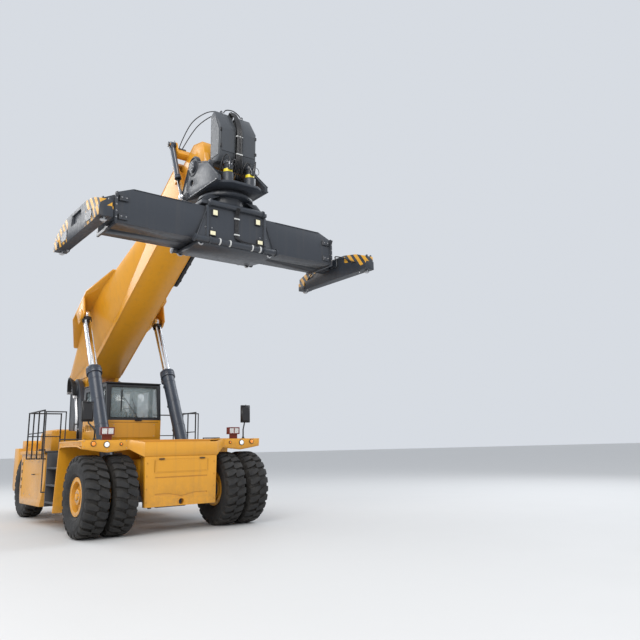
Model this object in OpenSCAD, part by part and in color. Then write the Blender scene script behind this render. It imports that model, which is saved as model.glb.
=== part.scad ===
// Reach stacker for freight containers, standing on its wheels with the boom raised.
// X points forward, Y to the machine's left, Z up. Millimetres. The ground is z = 0.
// The origin is the middle of the machine's footprint box.

/* [Wheels] */
// Distance between the front axle and the steering axle
wheelbase = 6000; // [5900:10:6100]
// Outer radius of every tyre
tyre_r = 807.5; // [800:0.5:810]
// Width of one tyre
tyre_w = 498; // [480:2:500]
// Lugs on each side of a tyre's tread
lugs = 16; // [14:1:20]
// Width of the groove between two lugs
lug_gap = 80; // [60:2:100]
// Depth of the groove between two lugs
lug_depth = 36; // [25:1:42]
// Half width over the outer front tyres
front_half = 2075; // [2060:5:2090]
// Half width over the rear tyres
rear_half = 1600; // [1590:5:1610]
// Distance between the two tyres of a front pair, centre to centre
twin_pitch = 580; // [570:2:590]

/* [Boom] */
// Angle of the boom above level as it stands
boom_angle = 31; // [29:0.5:33]
// Height of the boom's main pin
pivot_z = 3400; // [3380:5:3420]
// Distance of the boom's main pin behind the front axle
pivot_back = 4900; // [4880:5:4920]
// Distance along the boom from the main pin to the head pin
head_along = 8000; // [7950:10:8050]
// Half width of the outer boom
boom_half = 460; // [450:2:470]
// Depth of the outer boom
boom_depth = 950; // [940:5:960]

/* [Lift cylinders] */
// Side distance of each lift cylinder from the middle
lift_y = 977; // [970:1:984]
// Radius of a lift cylinder's barrel
lift_barrel_r = 155; // [140:1:160]
// Radius of a lift cylinder's rod
lift_rod_r = 100; // [80:1:105]

/* [Spreader] */
// Height of the twistlock tips as the machine stands
twist_tip_z = 5380; // [5370:2:5390]
// Distance between twistlocks along the spreader
twist_y = 5853; // [5850:1:5856]
// Distance between twistlocks across the spreader
twist_x = 2259; // [2255:1:2262]
// Half length of the main beam
beam_half = 2500; // [2480:5:2505]

/* [Cab] */
// Width of the cab
cab_w = 1400; // [1380:5:1420]
// Height of the cab's roof
cab_top = 3360; // [3340:5:3370]
// Thickness of the cab's walls
cab_wall = 45; // [40:1:50]

/* [Hidden] */
$fn = 48;
yellow = [0.86, 0.58, 0.10];
navy = [0.13, 0.15, 0.19];
black = [0.06, 0.06, 0.07];
steel = [0.80, 0.81, 0.83];
e = 0.3;

sx = 2300;                        // slewing axis ahead of the front axle
x_rear = -wheelbase - 1600;       // rear face of the counterweight
hood_rear = x_rear + 550;
hood_front = -wheelbase + 655;    // front of the engine hood, behind the boom's main pin
box_rear = -wheelbase + 1120;     // rear end of the side boxes and decks
gable_reach = 1235;               // half length of a gable beam
x_front = sx + gable_reach;
shift_x = -(x_rear + x_front) / 2;
piv = [-pivot_back, 0, pivot_z];
axle_z = tyre_r;
fo = front_half - tyre_w / 2;     // centre of an outer front tyre
fi = fo - twin_pitch;
fm = (fo + fi) / 2;
ro = rear_half - tyre_w / 2;      // centre of a rear tyre
king_y = 980;                     // kingpin
foot = [-1000, 0, 1000];          // lift cylinder's foot pin
eye_b = [2330, 700];              // rod eye in the boom's own frame
head_b = [head_along, 20];        // head pin in the boom's own frame
damp_b = [7675, 1190];            // damper's upper pin in the boom's own frame
damp_d = [-320, -600];            // damper's lower pin from the head pin
yoke_y = 520;
damp_y = 680;
ca = cos(boom_angle);
sa = sin(boom_angle);
function bw(p) = [piv[0] + ca * p[0] - sa * p[1], 0, piv[2] + sa * p[0] + ca * p[1]];
eye = bw(eye_b);
hd = bw(head_b);
dt = bw(damp_b);
dl = [hd[0] + damp_d[0], 0, hd[2] + damp_d[1]];
lift_len = norm(eye - foot);
lift_ang = atan2(eye[2] - foot[2], eye[0] - foot[0]);
damp_len = norm(dl - dt);
damp_ang = atan2(dl[2] - dt[2], dl[0] - dt[0]);
gable_y = twist_y / 2;
gable_z0 = twist_tip_z + 70;      // underside of the gable beams
beam_z0 = gable_z0 + 230;         // underside of the main beam
beam_z1 = beam_z0 + 700;

module bx(x0, x1, y0, y1, z0, z1) { translate([x0, y0, z0]) cube([x1 - x0, y1 - y0, z1 - z0]); }
module pair() { children(); mirror([0, 1, 0]) children(); }
// outline in X and Z, thick from y0 to y1
module py(pts, y0, y1) { translate([0, y1, 0]) rotate([90, 0, 0]) linear_extrude(y1 - y0) polygon(pts); }
// outline in Y and Z, thick from x0 to x1
module px(pts, x0, x1) { translate([x0, 0, 0]) rotate([90, 0, 90]) linear_extrude(x1 - x0) polygon(pts); }
module pz(pts, z0, z1) { translate([0, 0, z0]) linear_extrude(z1 - z0) polygon(pts); }
module cy(x, z, r, y0, y1) { translate([x, y0, z]) rotate([-90, 0, 0]) cylinder(r = r, h = y1 - y0); }
module cx(y, z, r, x0, x1) { translate([x0, y, z]) rotate([0, 90, 0]) cylinder(r = r, h = x1 - x0); }
module cz(x, y, r, z0, z1) { translate([x, y, z0]) cylinder(r = r, h = z1 - z0); }
// round bar between two points
module bar(a, b, r) {
    d = b - a; l = norm(d);
    translate(a) rotate([0, acos(d[2] / l), atan2(d[1], d[0])]) cylinder(r = r, h = l, $fn = 16);
}
module rail(pts, r) {
    for (i = [0 : len(pts) - 2]) bar(pts[i], pts[i + 1], r);
    for (i = [1 : len(pts) - 2]) translate(pts[i]) sphere(r = r * 1.05, $fn = 16);
}
module boom_frame() { translate(piv) rotate([0, -boom_angle, 0]) children(); }
module at_rear() { translate([-wheelbase, 0, 0]) children(); }
module world() { translate([shift_x, 0, 0]) children(); }

// Carrier

module girder_side() {
    bx(hood_rear - 10, 260, 300, 430, 1000, 1560);
    bx(-1200, -890, 430, 810, 800, 1300);
    cy(foot[0], foot[2], 140, 800, 870);
    bx(-1200, -890, 800, 1120, 800, 840);
    difference() {
        union() { bx(-1200, -890, 1085, 1120, 840, 1000); cy(foot[0], foot[2], 150, 1085, 1120); }
        cy(foot[0], foot[2], 69, 1080, 1125);
    }
    cy(foot[0], foot[2], 70, 860, 1130);
}
module chassis() {
    color(yellow) difference() {
        union() {
            pair() girder_side();
            bx(-320, 260, -430, 430, 1000, 1560);
            bx(-320, 260, -800, 800, 1000, 1500);
            for (x = [-1700, -3300, -4700, hood_rear + 150]) bx(x - 60, x + 60, -300, 300, 1100, 1500);
            for (x = [hood_rear + 90, hood_front - 155]) bx(x, x + 100, -880, 880, 1560, 1640);
            bx(-5300, -3800, -620, -430, 1380, 1560);
            bx(-5300, -3800, 430, 620, 1380, 1560);
            pair() bx(-230, 230, 440, 700, axle_z, 1000);
            at_rear() {
                bx(-150, 150, -200, 200, axle_z + 135, 1560);
                bx(-150, 150, -310, 310, 1100, 1560);
                for (x = [-260, 210]) { bx(x, x + 50, -200, 200, 700, 1560); bx(x, x + 50, -310, 310, 1100, 1560); }
            }
        }
        cy(0, axle_z, 190, -900, 900);
    }
}
module front_axle() {
    color(navy) {
        cy(0, axle_z, 190, -960, 960);
        difference() {
            union() {
                translate([0, 0, axle_z]) rotate([-90, 0, 0]) translate([0, 0, -330]) cylinder(r = 330, h = 660);
                cx(0, axle_z, 180, -480, 0);
            }
            bx(-400, 400, -720, 720, 1000, 1400);
        }
        pair() { cy(0, axle_z, 240, 960, 1040); cy(0, axle_z, 110, 1040, fo + 40); }
    }
}
module rear_axle() {
    color(navy) {
        difference() {
            union() {
                at_rear() py([[-160, 670], [160, 670], [200, 720], [200, 900], [160, 942.5], [-160, 942.5], [-200, 900], [-200, 720]], -860, 860);
                pair() for (z = [620, 920]) hull() { cz(-wheelbase, king_y, 120, z, z + 75); bx(-wheelbase - 110, -wheelbase + 110, 800, 870, z, z + 75); }
            }
            pair() cz(-wheelbase, king_y, 55, 600, 1000);
        }
        cy(-wheelbase, 560, 85, -420, 420);
        at_rear() pair() bx(-60, 60, 250, 330, 520, 700);
    }
}
module knuckle() {
    color(navy) {
        cz(-wheelbase, king_y, 54.95, 610, 1005);
        cz(-wheelbase, king_y, 105, 701, 914);
        cy(-wheelbase, axle_z, 100, king_y, 1090);
        cy(-wheelbase, axle_z, 105, 1090, 1140);
        cy(-wheelbase, axle_z, 85, 1140, ro + 40);
        cz(-wheelbase, king_y, 90, 1003, 1035);
        cz(-wheelbase, king_y, 90, 585, 612);
    }
}
tyre_pts = [[318, -165], [386, -165], [450, -232], [600, -249], [740, -235], [807.5, -165],
    [807.5, 165], [740, 235], [600, 249], [450, 232], [386, 165], [318, 165]];
module tyre(x, y) {
    color(black) translate([x, y, axle_z]) difference() {
        rotate([-90, 0, 0]) rotate_extrude($fn = 48)
            polygon([for (p = tyre_pts) [p[0] > 800 ? tyre_r : p[0], p[1] * tyre_w / 498]]);
        // slanting grooves between the lugs, half a pitch apart from side to side
        for (i = [0 : 2 * lugs - 1]) rotate([0, i * 180 / lugs, 0])
            mirror([0, i % 2, 0]) rotate([0, 0, -20]) translate([-lug_gap / 2, 25, tyre_r - lug_depth]) cube([lug_gap, 300, 100]);
    }
}
// one rim, its disc d to the outside of its middle
function rim_pts(d) = [[298, -187], [381, -187], [381, -165], [318, -165], [318, 165], [381, 165], [381, 187], [298, 187],
    [298, d + 16], [225, d + 40], [225, d + 10], [298, d - 14]];
module rim_barrel(x, y, d) {
    translate([x, y, axle_z]) rotate([-90, 0, 0]) rotate_extrude() polygon(rim_pts(d));
}
module rim_front() {
    color(yellow) {
        rim_barrel(0, fo, 60);
        rim_barrel(0, fi, -90);
        difference() {
            union() {
                cy(0, axle_z, 225, 1048, fo + 110);
                cy(0, axle_z, 150, fo + 110, fo + 165);
                for (a = [0 : 36 : 324]) translate([255 * cos(a), fo + 62, axle_z + 255 * sin(a)]) rotate([-90, 0, 0]) cylinder(r = 17, h = 34, $fn = 6);
            }
            cy(0, axle_z, 110.05, 1040, fo + 45);
        }
    }
}
module rim_rear() {
    color(yellow) {
        rim_barrel(-wheelbase, ro, 60);
        difference() {
            union() {
                cy(-wheelbase, axle_z, 225, 1148, ro + 100);
                cy(-wheelbase, axle_z, 130, ro + 100, ro + 140);
                for (a = [0 : 36 : 324]) translate([-wheelbase + 255 * cos(a), ro + 62, axle_z + 255 * sin(a)]) rotate([-90, 0, 0]) cylinder(r = 17, h = 34, $fn = 6);
            }
            cy(-wheelbase, axle_z, 85.05, 1140, ro + 45);
        }
    }
}
module front_apron() {
    color(yellow) difference() {
        union() {
            px([[-810, 540], [810, 540], [830, 1547], [-830, 1547]], 440, 560);
            pair() py([[260, 1000], [440, 560], [440, 1547], [260, 1547]], 770, 805);
            px([[-740, 1050], [740, 1050], [740, 1547], [-740, 1547]], 260, 440);
        }
        px([[-620, 1230], [620, 1230], [620, 1480], [-620, 1480]], 552, 570);
        px([[-600, 1110], [600, 1110], [600, 1135], [-600, 1135]], 546, 570);
        px([[-600, 800], [-300, 800], [0, 740], [300, 800], [600, 800], [600, 770], [0, 705], [-600, 770]], 546, 570);
        cx(0, 620, 60, 400, 600);
    }
    color(navy) pair() bx(552, 568, 430, 520, 1482, 1500);
}
lamp_face = [[1140, 1905], [2060, 1905], [2050, 1760], [1560, 1690], [1150, 1730]];
module front_fender_side() {
    // deck over the twin wheels
    pz([[-1130, 1180], [330, 1180], [330, 2075], [-1130, 2075]], 1880, 1905);
    // front face of the fender with its lamp panel
    difference() {
        px([[1100, 1905], [2075, 1905], [2065, 1740], [1560, 1662], [1100, 1712]], 330, 360);
        px(lamp_face, 345, 365);
    }
    // bevelled shoulder down to the cross member
    intersection() {
        pz([[330, 1100], [360, 1100], [550, 840], [520, 840]], 1500, 1950);
        px([[840, 1547], [1100, 1712], [1100, 1905], [840, 1850]], 300, 600);
    }
    // outer lip and the rear flap behind the wheel
    bx(-1130, 330, 2050, 2064, 1790, 1880);
    py([[-1134, 1880], [-1340, 420], [-1300, 420], [-1094, 1880]], 1190, 2070);
}
module front_fenders() {
    color(yellow) {
        pair() front_fender_side();
        px([[-840, 1547], [840, 1547], [840, 1850], [-840, 1850]], 520, 550);
        bx(260, 520, -830, 830, 1825, 1850);
        bx(-320, 260, -1180, 1180, 1880, 1905);
        bx(240, 260, -830, 830, 1560, 1905);
        pair() bx(-320, 330, 1155, 1180, 1700, 1905);
        pair() { bx(-320, -290, 430, fi - tyre_w / 2 - 12, 1500, 1880); bx(-320, -290, 430, 1155, 2 * tyre_r + 25, 1880); }
    }
    color(navy) pair() px(lamp_face, 345, 366);
    color([1.0, 0.5, 0.1]) pair() cx(1850, 1835, 42, 366, 392);
    color([0.9, 0.9, 0.9]) pair() cx(1580, 1815, 50, 366, 388);
    color([0.9, 0.9, 0.9]) pair() cx(1280, 1820, 20, 366, 382);
}
module platform_side() {
    bx(box_rear, -2640, 760, 1950, 1690, 1730);
    bx(-2640, -1345, 1200, 1560, 1690, 1730);
    bx(-2640, -1780, 760, 1200, 1690, 1730);
    bx(-3900, -1230, 640, 760, 1690, 1730);
    for (x = [-3600, -2300, -1500]) bx(x, x + 80, 430, 780, 1500, 1690);
    bx(-4700, -4620, 620, 780, 1500, 1690);
}
module platforms() {
    color(navy) pair() platform_side();
}
module side_box() {
    color(yellow) {
        difference() {
            py([[box_rear, 620], [box_rear + 80, 450], [-3000, 450], [-2700, 1000], [-2700, 1690], [box_rear, 1690]], 790, 1900);
            py([[box_rear + 60, 640], [box_rear + 120, 500], [-3030, 500], [-2760, 1010], [-2760, 1640], [box_rear + 60, 1640]], 840, 1860);
            py([[box_rear + 180, 720], [box_rear + 200, 620], [-3170, 620], [-2980, 1060], [-2980, 1560], [box_rear + 180, 1560]], 1890, 1920);
        }
        bx(-4400, -4300, 430, 790, 1100, 1300);
        bx(-3400, -3300, 430, 790, 1100, 1300);
    }
}
module steps() {
    color(navy) {
        for (z = [560, 940, 1320]) bx(-2560, -1420, 1560, 1900, z, z + 35);
        bx(-2600, -2560, 1200, 1900, 480, 1690);
        bx(-1420, -1385, 1200, 1900, 480, 1690);
        bx(-2560, -1420, 1200, 1235, 480, 1690);
    }
    color(black) {
        rail([[-1402, 1880, 800], [-1402, 1990, 800], [-1402, 1990, 1960], [-1402, 1530, 1960], [-1402, 1530, 1730]], 14);
        rail([[-2580, 1880, 800], [-2580, 1990, 800], [-2580, 1990, 2640], [-2580, 1530, 2640], [-2580, 1530, 1730]], 14);
    }
}
post_x = [-4100, -3643, -3187, -2730];
module handrail_cage() {
    for (x = post_x) { cz(x, 1985, 17, 1550, 2680); bx(x - 30, x + 30, 1900, 1990, 1535, 1565); }
    bar([post_x[0] - 19, 1985, 2680], [post_x[3] + 19, 1985, 2680], 19);
    bar([post_x[0], 1985, 2160], [post_x[3], 1985, 2160], 13);
    bar([post_x[0], 1985, 2680], [post_x[0], 1200, 2680], 16);
    bar([post_x[0], 1985, 2100], [post_x[0], 1200, 2100], 12);
    cz(post_x[0], 1200, 17, 1730, 2700);
}
module handrails() { color(black) pair() handrail_cage(); }
tower_pts = [[-5200, 1560], [-3960, 1560], [-3960, 1900], [-4080, 2150], [-4400, 3000], [-4560, 3420], [-4700, 3620],
    [-4900, 3700], [-5120, 3620], [-5330, 3300], [-5300, 2500]];
module tower() {
    color(navy) {
        pair() difference() {
            union() { py(tower_pts, 500, 620); cy(piv[0], piv[2], 220, 500, 660); }
            py([[-4950, 1900], [-4350, 1900], [-4480, 2300], [-4900, 2500]], 480, 640);
        }
        bx(-5200, -5100, -500, 500, 1560, 2300);
        bx(-4300, -4200, -500, 500, 1560, 1900);
    }
    color(steel) cy(piv[0], piv[2], 90, -690, 690);
}
module rear_hood() {
    color(yellow) difference() {
        py([[hood_rear, 1640], [hood_rear, 2180], [hood_rear + 200, 2330], [hood_front - 155, 2330], [hood_front, 2200], [hood_front, 1640]], -900, 900);
        py([[hood_rear - 10, 1560], [hood_rear - 10, 1600], [hood_rear + 50, 2150], [hood_rear + 220, 2290], [hood_front - 175, 2290], [hood_front - 50, 2180], [hood_front - 50, 1560]], -860, 860);
        for (x = [hood_rear + 300 : 180 : hood_front - 355]) pair() bx(x, x + 90, 850, 910, 1800, 2150);
        for (x = [hood_rear + 450 : 200 : hood_front - 455]) bx(x, x + 100, -400, 400, 2280, 2340);
    }
    color(yellow) pair() difference() {
        bx(hood_front, -4500, 660, 1300, 1730, 2250);
        bx(hood_front + 45, -4540, 700, 1260, 1700, 2210);
        for (x = [hood_front + 85 : 110 : -4600]) bx(x, x + 60, 1250, 1310, 1800, 2180);
    }
    color(navy) for (x = [hood_rear + 450 : 200 : hood_front - 455]) bx(x, x + 100, -400, 400, 2290, 2310);
    color(navy) pair() for (x = [hood_rear + 300 : 180 : hood_front - 355]) bx(x, x + 90, 862, 880, 1800, 2150);
}
module engine_block() { color(navy) bx(hood_rear + 300, hood_front - 175, -420, 420, 1560, 2230); }
module counterweight() {
    f = x_rear + 540; // its front, against the frame's end
    color(yellow) difference() {
        union() {
            py([[x_rear, 760], [x_rear + 80, 640], [f, 640], [f, 1640], [f - 120, 1840], [x_rear, 1840]], -1450, 1450);
            py([[x_rear, 1840], [f - 120, 1840], [f - 120, 1980], [f - 200, 2060], [x_rear, 2060]], -1250, 1250);
        }
        bx(x_rear - 10, x_rear + 200, -160, 160, 820, 1080);
        cz(x_rear + 100, 0, 30, 600, 1180);
        pair() cx(1150, 1500, 110, x_rear - 10, x_rear + 40);
        pair() cx(850, 1500, 110, x_rear - 10, x_rear + 40);
    }
    color([0.8, 0.05, 0.03]) pair() cx(1150, 1500, 100, x_rear + 25, x_rear + 44);
    color([1.0, 0.6, 0.1]) pair() cx(850, 1500, 100, x_rear + 25, x_rear + 44);
}
module exhaust() {
    x = hood_rear + 350;
    color(navy) {
        cz(x, 640, 75, 2340, 3000);
        rail([[x, 640, 2990], [x, 640, 3120], [x - 110, 640, 3220]], 55);
        cz(x, 640, 95, 2330, 2345);
    }
}

// Cab

cab_x0 = -3900;
cab_x1 = -2150;
cab_z0 = 1935;
ch = cab_w / 2;
hinge_z = [2250, 2950];           // foot of each door hinge
side_win = [[-2700, 2430], [-2270, 2430], [-2330, 3260], [-2700, 3260]];
front_win = [[-620, 2490], [620, 2490], [600, 3270], [-600, 3270]];
cab_side = [[-3900, 1935], [-2150, 1935], [-2150, 2440], [-2230, 3310], [-2290, 3360], [-3840, 3360], [-3900, 3300]];
door_pts = [[-3790, 2000], [-2780, 2000], [-2780, 3290], [-3790, 3290]];
module cab_shell() {
    color(yellow) difference() {
        py(cab_side, -ch, ch);
        py([[-3855, 1980], [-2195, 1980], [-2195, 2440], [-2275, 3290], [-2310, 3315], [-3820, 3315], [-3855, 3290]], -ch + cab_wall, ch - cab_wall);
        py(door_pts, -ch - 10, -ch + 60);
        py(door_pts, ch - 60, ch + 10);
        py(side_win, -ch - 10, ch + 10);
        px(front_win, -2500, -2100);
        px([[-560, 2500], [560, 2500], [560, 3250], [-560, 3250]], -3960, -3800);
        bx(-3650, -2700, -480, 480, 3300, 3400);
    }
    color(navy) { bx(-3780, -3640, -500, 500, 1560, 1935); bx(-2500, -2360, -500, 500, 1560, 1935); }
    color(black) pair() for (z = hinge_z) { cz(-3805, ch + 14, 12, z - 40, z - e); bx(-3860, -3805, ch, ch + 12, z - 35, z - 5); }
}
module cab_glass() {
    color([0.5, 0.6, 0.65, 0.4]) {
        intersection() {
            py([[-2177, 2440], [-2170, 2440], [-2248, 3288], [-2255, 3288]], -650, 650);
            px(front_win, -2500, -2100);
        }
        bx(-3882, -3876, -560, 560, 2500, 3250);
        bx(-3650, -2700, -480, 480, 3334, 3340);
        pair() py(side_win, ch - 26, ch - 20);
    }
}
door_in = [[-3784, 2006], [-2788, 2006], [-2788, 3284], [-3784, 3284]];
door_win = [[-3720, 2560], [-2860, 2450], [-2860, 3220], [-3720, 3220]];
module door() {
    color(yellow) difference() {
        py(door_in, ch - cab_wall, ch);
        py(door_win, ch - 60, ch + 10);
        py([[-3680, 2200], [-2880, 2200], [-2880, 2310], [-3680, 2370]], ch - 12, ch + 10);
    }
    color(black) {
        for (z = hinge_z) { cz(-3805, ch + 14, 12, z, z + 80); bx(-3805, -3750, ch, ch + 12, z + 20, z + 60); }
        rail([[-2840, ch - 2, 2380], [-2840, ch + 45, 2380], [-2840, ch + 45, 2530], [-2840, ch - 2, 2530]], 9);
    }
}
module door_glass() { color([0.5, 0.6, 0.65, 0.4]) py(door_win, ch - 26, ch - 20); }
module cab_seat() {
    color(black) {
        bx(-3450, -2980, -250, 250, 2320, 2440);
        py([[-3500, 2400], [-3380, 2400], [-3480, 3050], [-3600, 3030]], -240, 240);
        bx(-3350, -3080, -170, 170, 1980, 2320);
        pair() bx(-3420, -3040, 262, 330, 2560, 2610);
        pair() bx(-3320, -3260, 262, 300, 2300, 2560);
        pair() bx(-3330, -3250, 240, 300, 2300, 2340);
    }
}
module cab_console() {
    color(black) {
        py([[-2420, 1980], [-2270, 1980], [-2290, 2420], [-2500, 2360]], -430, 430);
        bar([-2480, 0, 2330], [-2700, 0, 2640], 30);
        translate([-2700, 0, 2640]) rotate([0, -35, 0]) {
            rotate_extrude() translate([190, 0]) circle(r = 14, $fn = 16);
            for (a = [90, 210, 330]) rotate([0, 0, a]) translate([0, -14, -8]) cube([190, 28, 16]);
            translate([0, 0, -12]) cylinder(r = 45, h = 24);
        }
    }
}
module mirrors() {
    color(black) pair() {
        rail([[150, 1760, 1905], [150, 1760, 2120], [40, 1860, 2260], [40, 1900, 2700]], 16);
        bx(0, 60, 1775, 2005, 2290, 2690);
    }
}
module work_lamps() {
    color(yellow) pair() { bx(120, 150, 1400, 1600, 1905, 2010); }
    color([0.35, 0.07, 0.05]) pair() difference() {
        bx(60, 190, 1360, 1640, 2010, 2170);
        bx(150, 200, 1380, 1490, 2030, 2150);
        bx(150, 200, 1510, 1620, 2030, 2150);
    }
    color([0.95, 0.95, 0.95]) pair() { bx(150, 168, 1380, 1490, 2030, 2150); bx(150, 168, 1510, 1620, 2030, 2150); }
}

// Boom: x along it from the main pin, z square to it

b0 = 50;
b1 = b0 + boom_depth;
outer_end = 7350;
cheek_y = lift_y + lift_rod_r + 8; // inside of the cheek outside each rod eye
module boom_outline(y) { py([[-950, b1 - 130], [-950, b1], [outer_end, b1], [outer_end, b0], [560, b0]], -y, y); }
module outer_boom() {
    color(yellow) boom_frame() difference() {
        boom_outline(boom_half);
        py([[-915, b1 - 30], [outer_end + 10, b1 - 30], [outer_end + 10, b0 + 30], [578, b0 + 30], [-915, 891]], -boom_half + 30, boom_half - 30);
    }
    // slide pads inside the mouth
    color(black) boom_frame() {
        for (z = [[b0 + 25, in_z0 - e], [in_z1 + e, b1 - 25]]) bx(outer_end - 140, outer_end - 10, -220, 220, z[0], z[1]);
        pair() bx(outer_end - 140, outer_end - 10, inner_half + e, boom_half - 25, 300, 740);
    }
}
module wing() {
    // chamfered side body out to the wing plate's edge
    hull() {
        bx(-700, -690, boom_half, boom_half + 2, b0 + 700, b1);
        bx(1500, 1510, boom_half, 780, b1 - 60, b1);
        bx(1500, 1510, boom_half, boom_half + 2, b0 + 150, b1);
        bx(3100, 3110, boom_half, 760, b1 - 60, b1);
        bx(3100, 3110, boom_half, boom_half + 2, b0 + 150, b1);
        bx(5200, 5210, boom_half, boom_half + 2, b0 + 500, b1);
    }
    // plate over the rod eye and the cheek outside it
    pz([[600, 740], [1750, cheek_y + 35], [2900, cheek_y + 35], [3800, 700], [3800, 440], [600, 440]], b1, b1 + 35);
    py([[2050, b1], [2700, b1], [2560, 560], [2440, 540], [2220, 540], [2100, 560]], cheek_y, cheek_y + 35);
    cy(eye_b[0], eye_b[1], 150, cheek_y, cheek_y + 65);
}
module boom_side_plates() {
    color(yellow) boom_frame() pair() {
        wing();
        // cheek that hangs on the main pin
        difference() {
            py([[600, b0 + 15], [-560, 668], [-220, -60], [-130, -170], [130, -170], [220, -60]], 330, 440);
            boom_outline(boom_half + 20);
            cy(0, 0, 90.05, 300, 500);
        }
    }
}
module boom_collar() {
    color(yellow) boom_frame() {
        difference() {
            bx(outer_end - 140, outer_end, -boom_half - 45, boom_half + 45, b0 - 40, b1 + 40);
            boom_outline(boom_half);
            bx(outer_end - 150, outer_end + 10, -boom_half, boom_half, b0, b1);
        }
        pair() bx(outer_end - 220, outer_end - 60, boom_half, boom_half + 75, 500, 620);
    }
}
inner_half = 345;
in_z0 = b0 + 75;                  // underside of the inner boom
in_z1 = b1 - 85;                  // top of the inner boom
module inner_outline(y) { py([[-890, 899], [-890, in_z1], [8000, in_z1], [8300, 640], [8300, 480], [8100, in_z0], [535, in_z0]], -y, y); }
module inner_boom() {
    color(yellow) boom_frame() difference() {
        inner_outline(inner_half);
        py([[-800, 890], [7950, 890], [7950, 150], [560, 150]], -inner_half + 25, inner_half - 25);
    }
    // slide pads round the tail
    color(black) boom_frame() {
        for (z = [[b0 + 30 + e, in_z0 + 5], [in_z1 - 5, b1 - 30 - e]]) bx(620, 800, -220, 220, z[0], z[1]);
        pair() bx(620, 800, inner_half - 5, boom_half - 30 - e, 300, 740);
    }
}
module boom_head() {
    color(yellow) boom_frame() {
        // cheeks on the head pin
        pair() difference() {
            py([[7500, 250], [8240, 420], [8190, -20], [8100, -140], [7900, -140], [7810, -20]], 250, inner_half);
            inner_outline(inner_half + 20);
            cy(head_b[0], head_b[1], 80.05, 200, 400);
        }
        // bracket that carries the dampers' upper pins
        bx(7540, 7700, -590, 590, in_z1, 1060);
        pair() hull() { bx(7540, 7700, 575, 610, 960, 1060); cy(damp_b[0], damp_b[1], 85, 575, 610); }
        pair() cy(damp_b[0], damp_b[1], 40, 600, 760);
    }
}
module hose_track() {
    color(black) boom_frame() {
        bx(4500, 6900, boom_half, boom_half + 40, 70, 220);
        for (x = [4600 : 300 : 6700]) bx(x, x + 60, boom_half + 40, boom_half + 150, 60, 230);
        py([[4400, 80], [4520, 60], [6750, 60], [6850, 130], [6750, 200], [4520, 200], [4400, 180]], boom_half + 60, boom_half + 135);
    }
}
module lift_frame(y) { translate([foot[0], y, foot[2]]) rotate([0, -lift_ang, 0]) children(); }
lift_gland = 3080;
module lift_barrel(s) {
    color(navy) lift_frame(s * lift_y) {
        difference() {
            union() {
                cx(0, 0, lift_barrel_r, 180, lift_gland - 180);
                cx(0, 0, lift_barrel_r + 28, lift_gland - 180, lift_gland);
                translate([0, -95, -120]) cube([200, 190, 240]);
                cy(0, 0, 150, -95, 95);
            }
            cx(0, 0, lift_rod_r + 0.05, 260, lift_gland + 1);
            cy(0, 0, 70.05, -120, 120);
        }
    }
}
module lift_rod(s) {
    color(steel) lift_frame(s * lift_y) {
        difference() {
            union() {
                cx(0, 0, lift_rod_r, lift_len - 3200, lift_len - 110);
                cy(lift_len, 0, 140, -80, 80);
            }
            cy(lift_len, 0, 70, -100, 100);
        }
        cy(lift_len, 0, 70, -80, 80);
    }
}

// Head

module yoke_plate() {
    difference() {
        union() {
            py([[hd[0] - 230, hd[2]], [hd[0] - 560, 6960], [hd[0] - 560, 6850], [sx + 740, 6850], [sx + 740, 6960], [hd[0] + 620, 7420], [hd[0] + 230, hd[2]]], yoke_y, yoke_y + 60);
            cy(hd[0], hd[2], 230, yoke_y, yoke_y + 60);
            cy(hd[0], hd[2], 140, yoke_y + 60, yoke_y + 90);
        }
        cy(hd[0] - 60, 7190, 70, yoke_y - 20, yoke_y + 80);
    }
}
module head_yoke() {
    color(navy) {
        pair() yoke_plate();
        pz([[hd[0] - 290, -yoke_y - 30], [sx + 640, -yoke_y - 30], [sx + 800, -300], [sx + 800, 300], [sx + 640, yoke_y + 30], [hd[0] - 290, yoke_y + 30]], 6850, 6900);
        cz(sx, 0, 420, 6780, 6850);
        // ears for the dampers' lower ends
        pair() bx(dl[0] - 90, dl[0] + 90, yoke_y + 50, damp_y - 62, dl[2] - 90, dl[2] + 90);
        for (y = [-260, 260]) { cz(sx + 560, y, 120, 6900, 7120); cz(sx + 560, y, 85, 7120, 7330); cz(sx + 560, y, 100, 7330, 7390); }
    }
    color(steel) cy(hd[0], hd[2], 80, -yoke_y - 35, yoke_y + 35);
}
house_pts = [[hd[0] + 470, 7420], [hd[0] + 480, 8560], [hd[0] + 620, 8620], [hd[0] + 880, 8200], [hd[0] + 860, 7560], [hd[0] + 760, 7420]];
module head_housing() {
    color([0.2, 0.22, 0.25]) {
        for (y = [-430, 60]) py(house_pts, y, y + 370);
        py([[hd[0] + 500, 7500], [hd[0] + 500, 8500], [hd[0] + 600, 8500], [hd[0] + 600, 7500]], -60, 60);
        pair() bx(hd[0] + 480, hd[0] + 600, 430, yoke_y, 7180, 7500);
    }
}
module damp_frame(y) { translate([dt[0], y, dt[2]]) rotate([0, -damp_ang, 0]) children(); }
module damper_barrel(s) {
    color(navy) damp_frame(s * damp_y) difference() {
        union() {
            cy(0, 0, 75, -45, 45);
            cx(0, 0, 62, 50, 1000);
            cx(0, 0, 74, 950, 1010);
        }
        cx(0, 0, 35.05, 120, 1020);
        cy(0, 0, 40.05, -60, 60);
    }
}
module damper_rod(s) {
    color(steel) damp_frame(s * damp_y) {
        cx(0, 0, 35, 500, damp_len - 50);
        cy(damp_len, 0, 65, -45, 45);
    }
}

// Rotator and side-shift carriage

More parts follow.
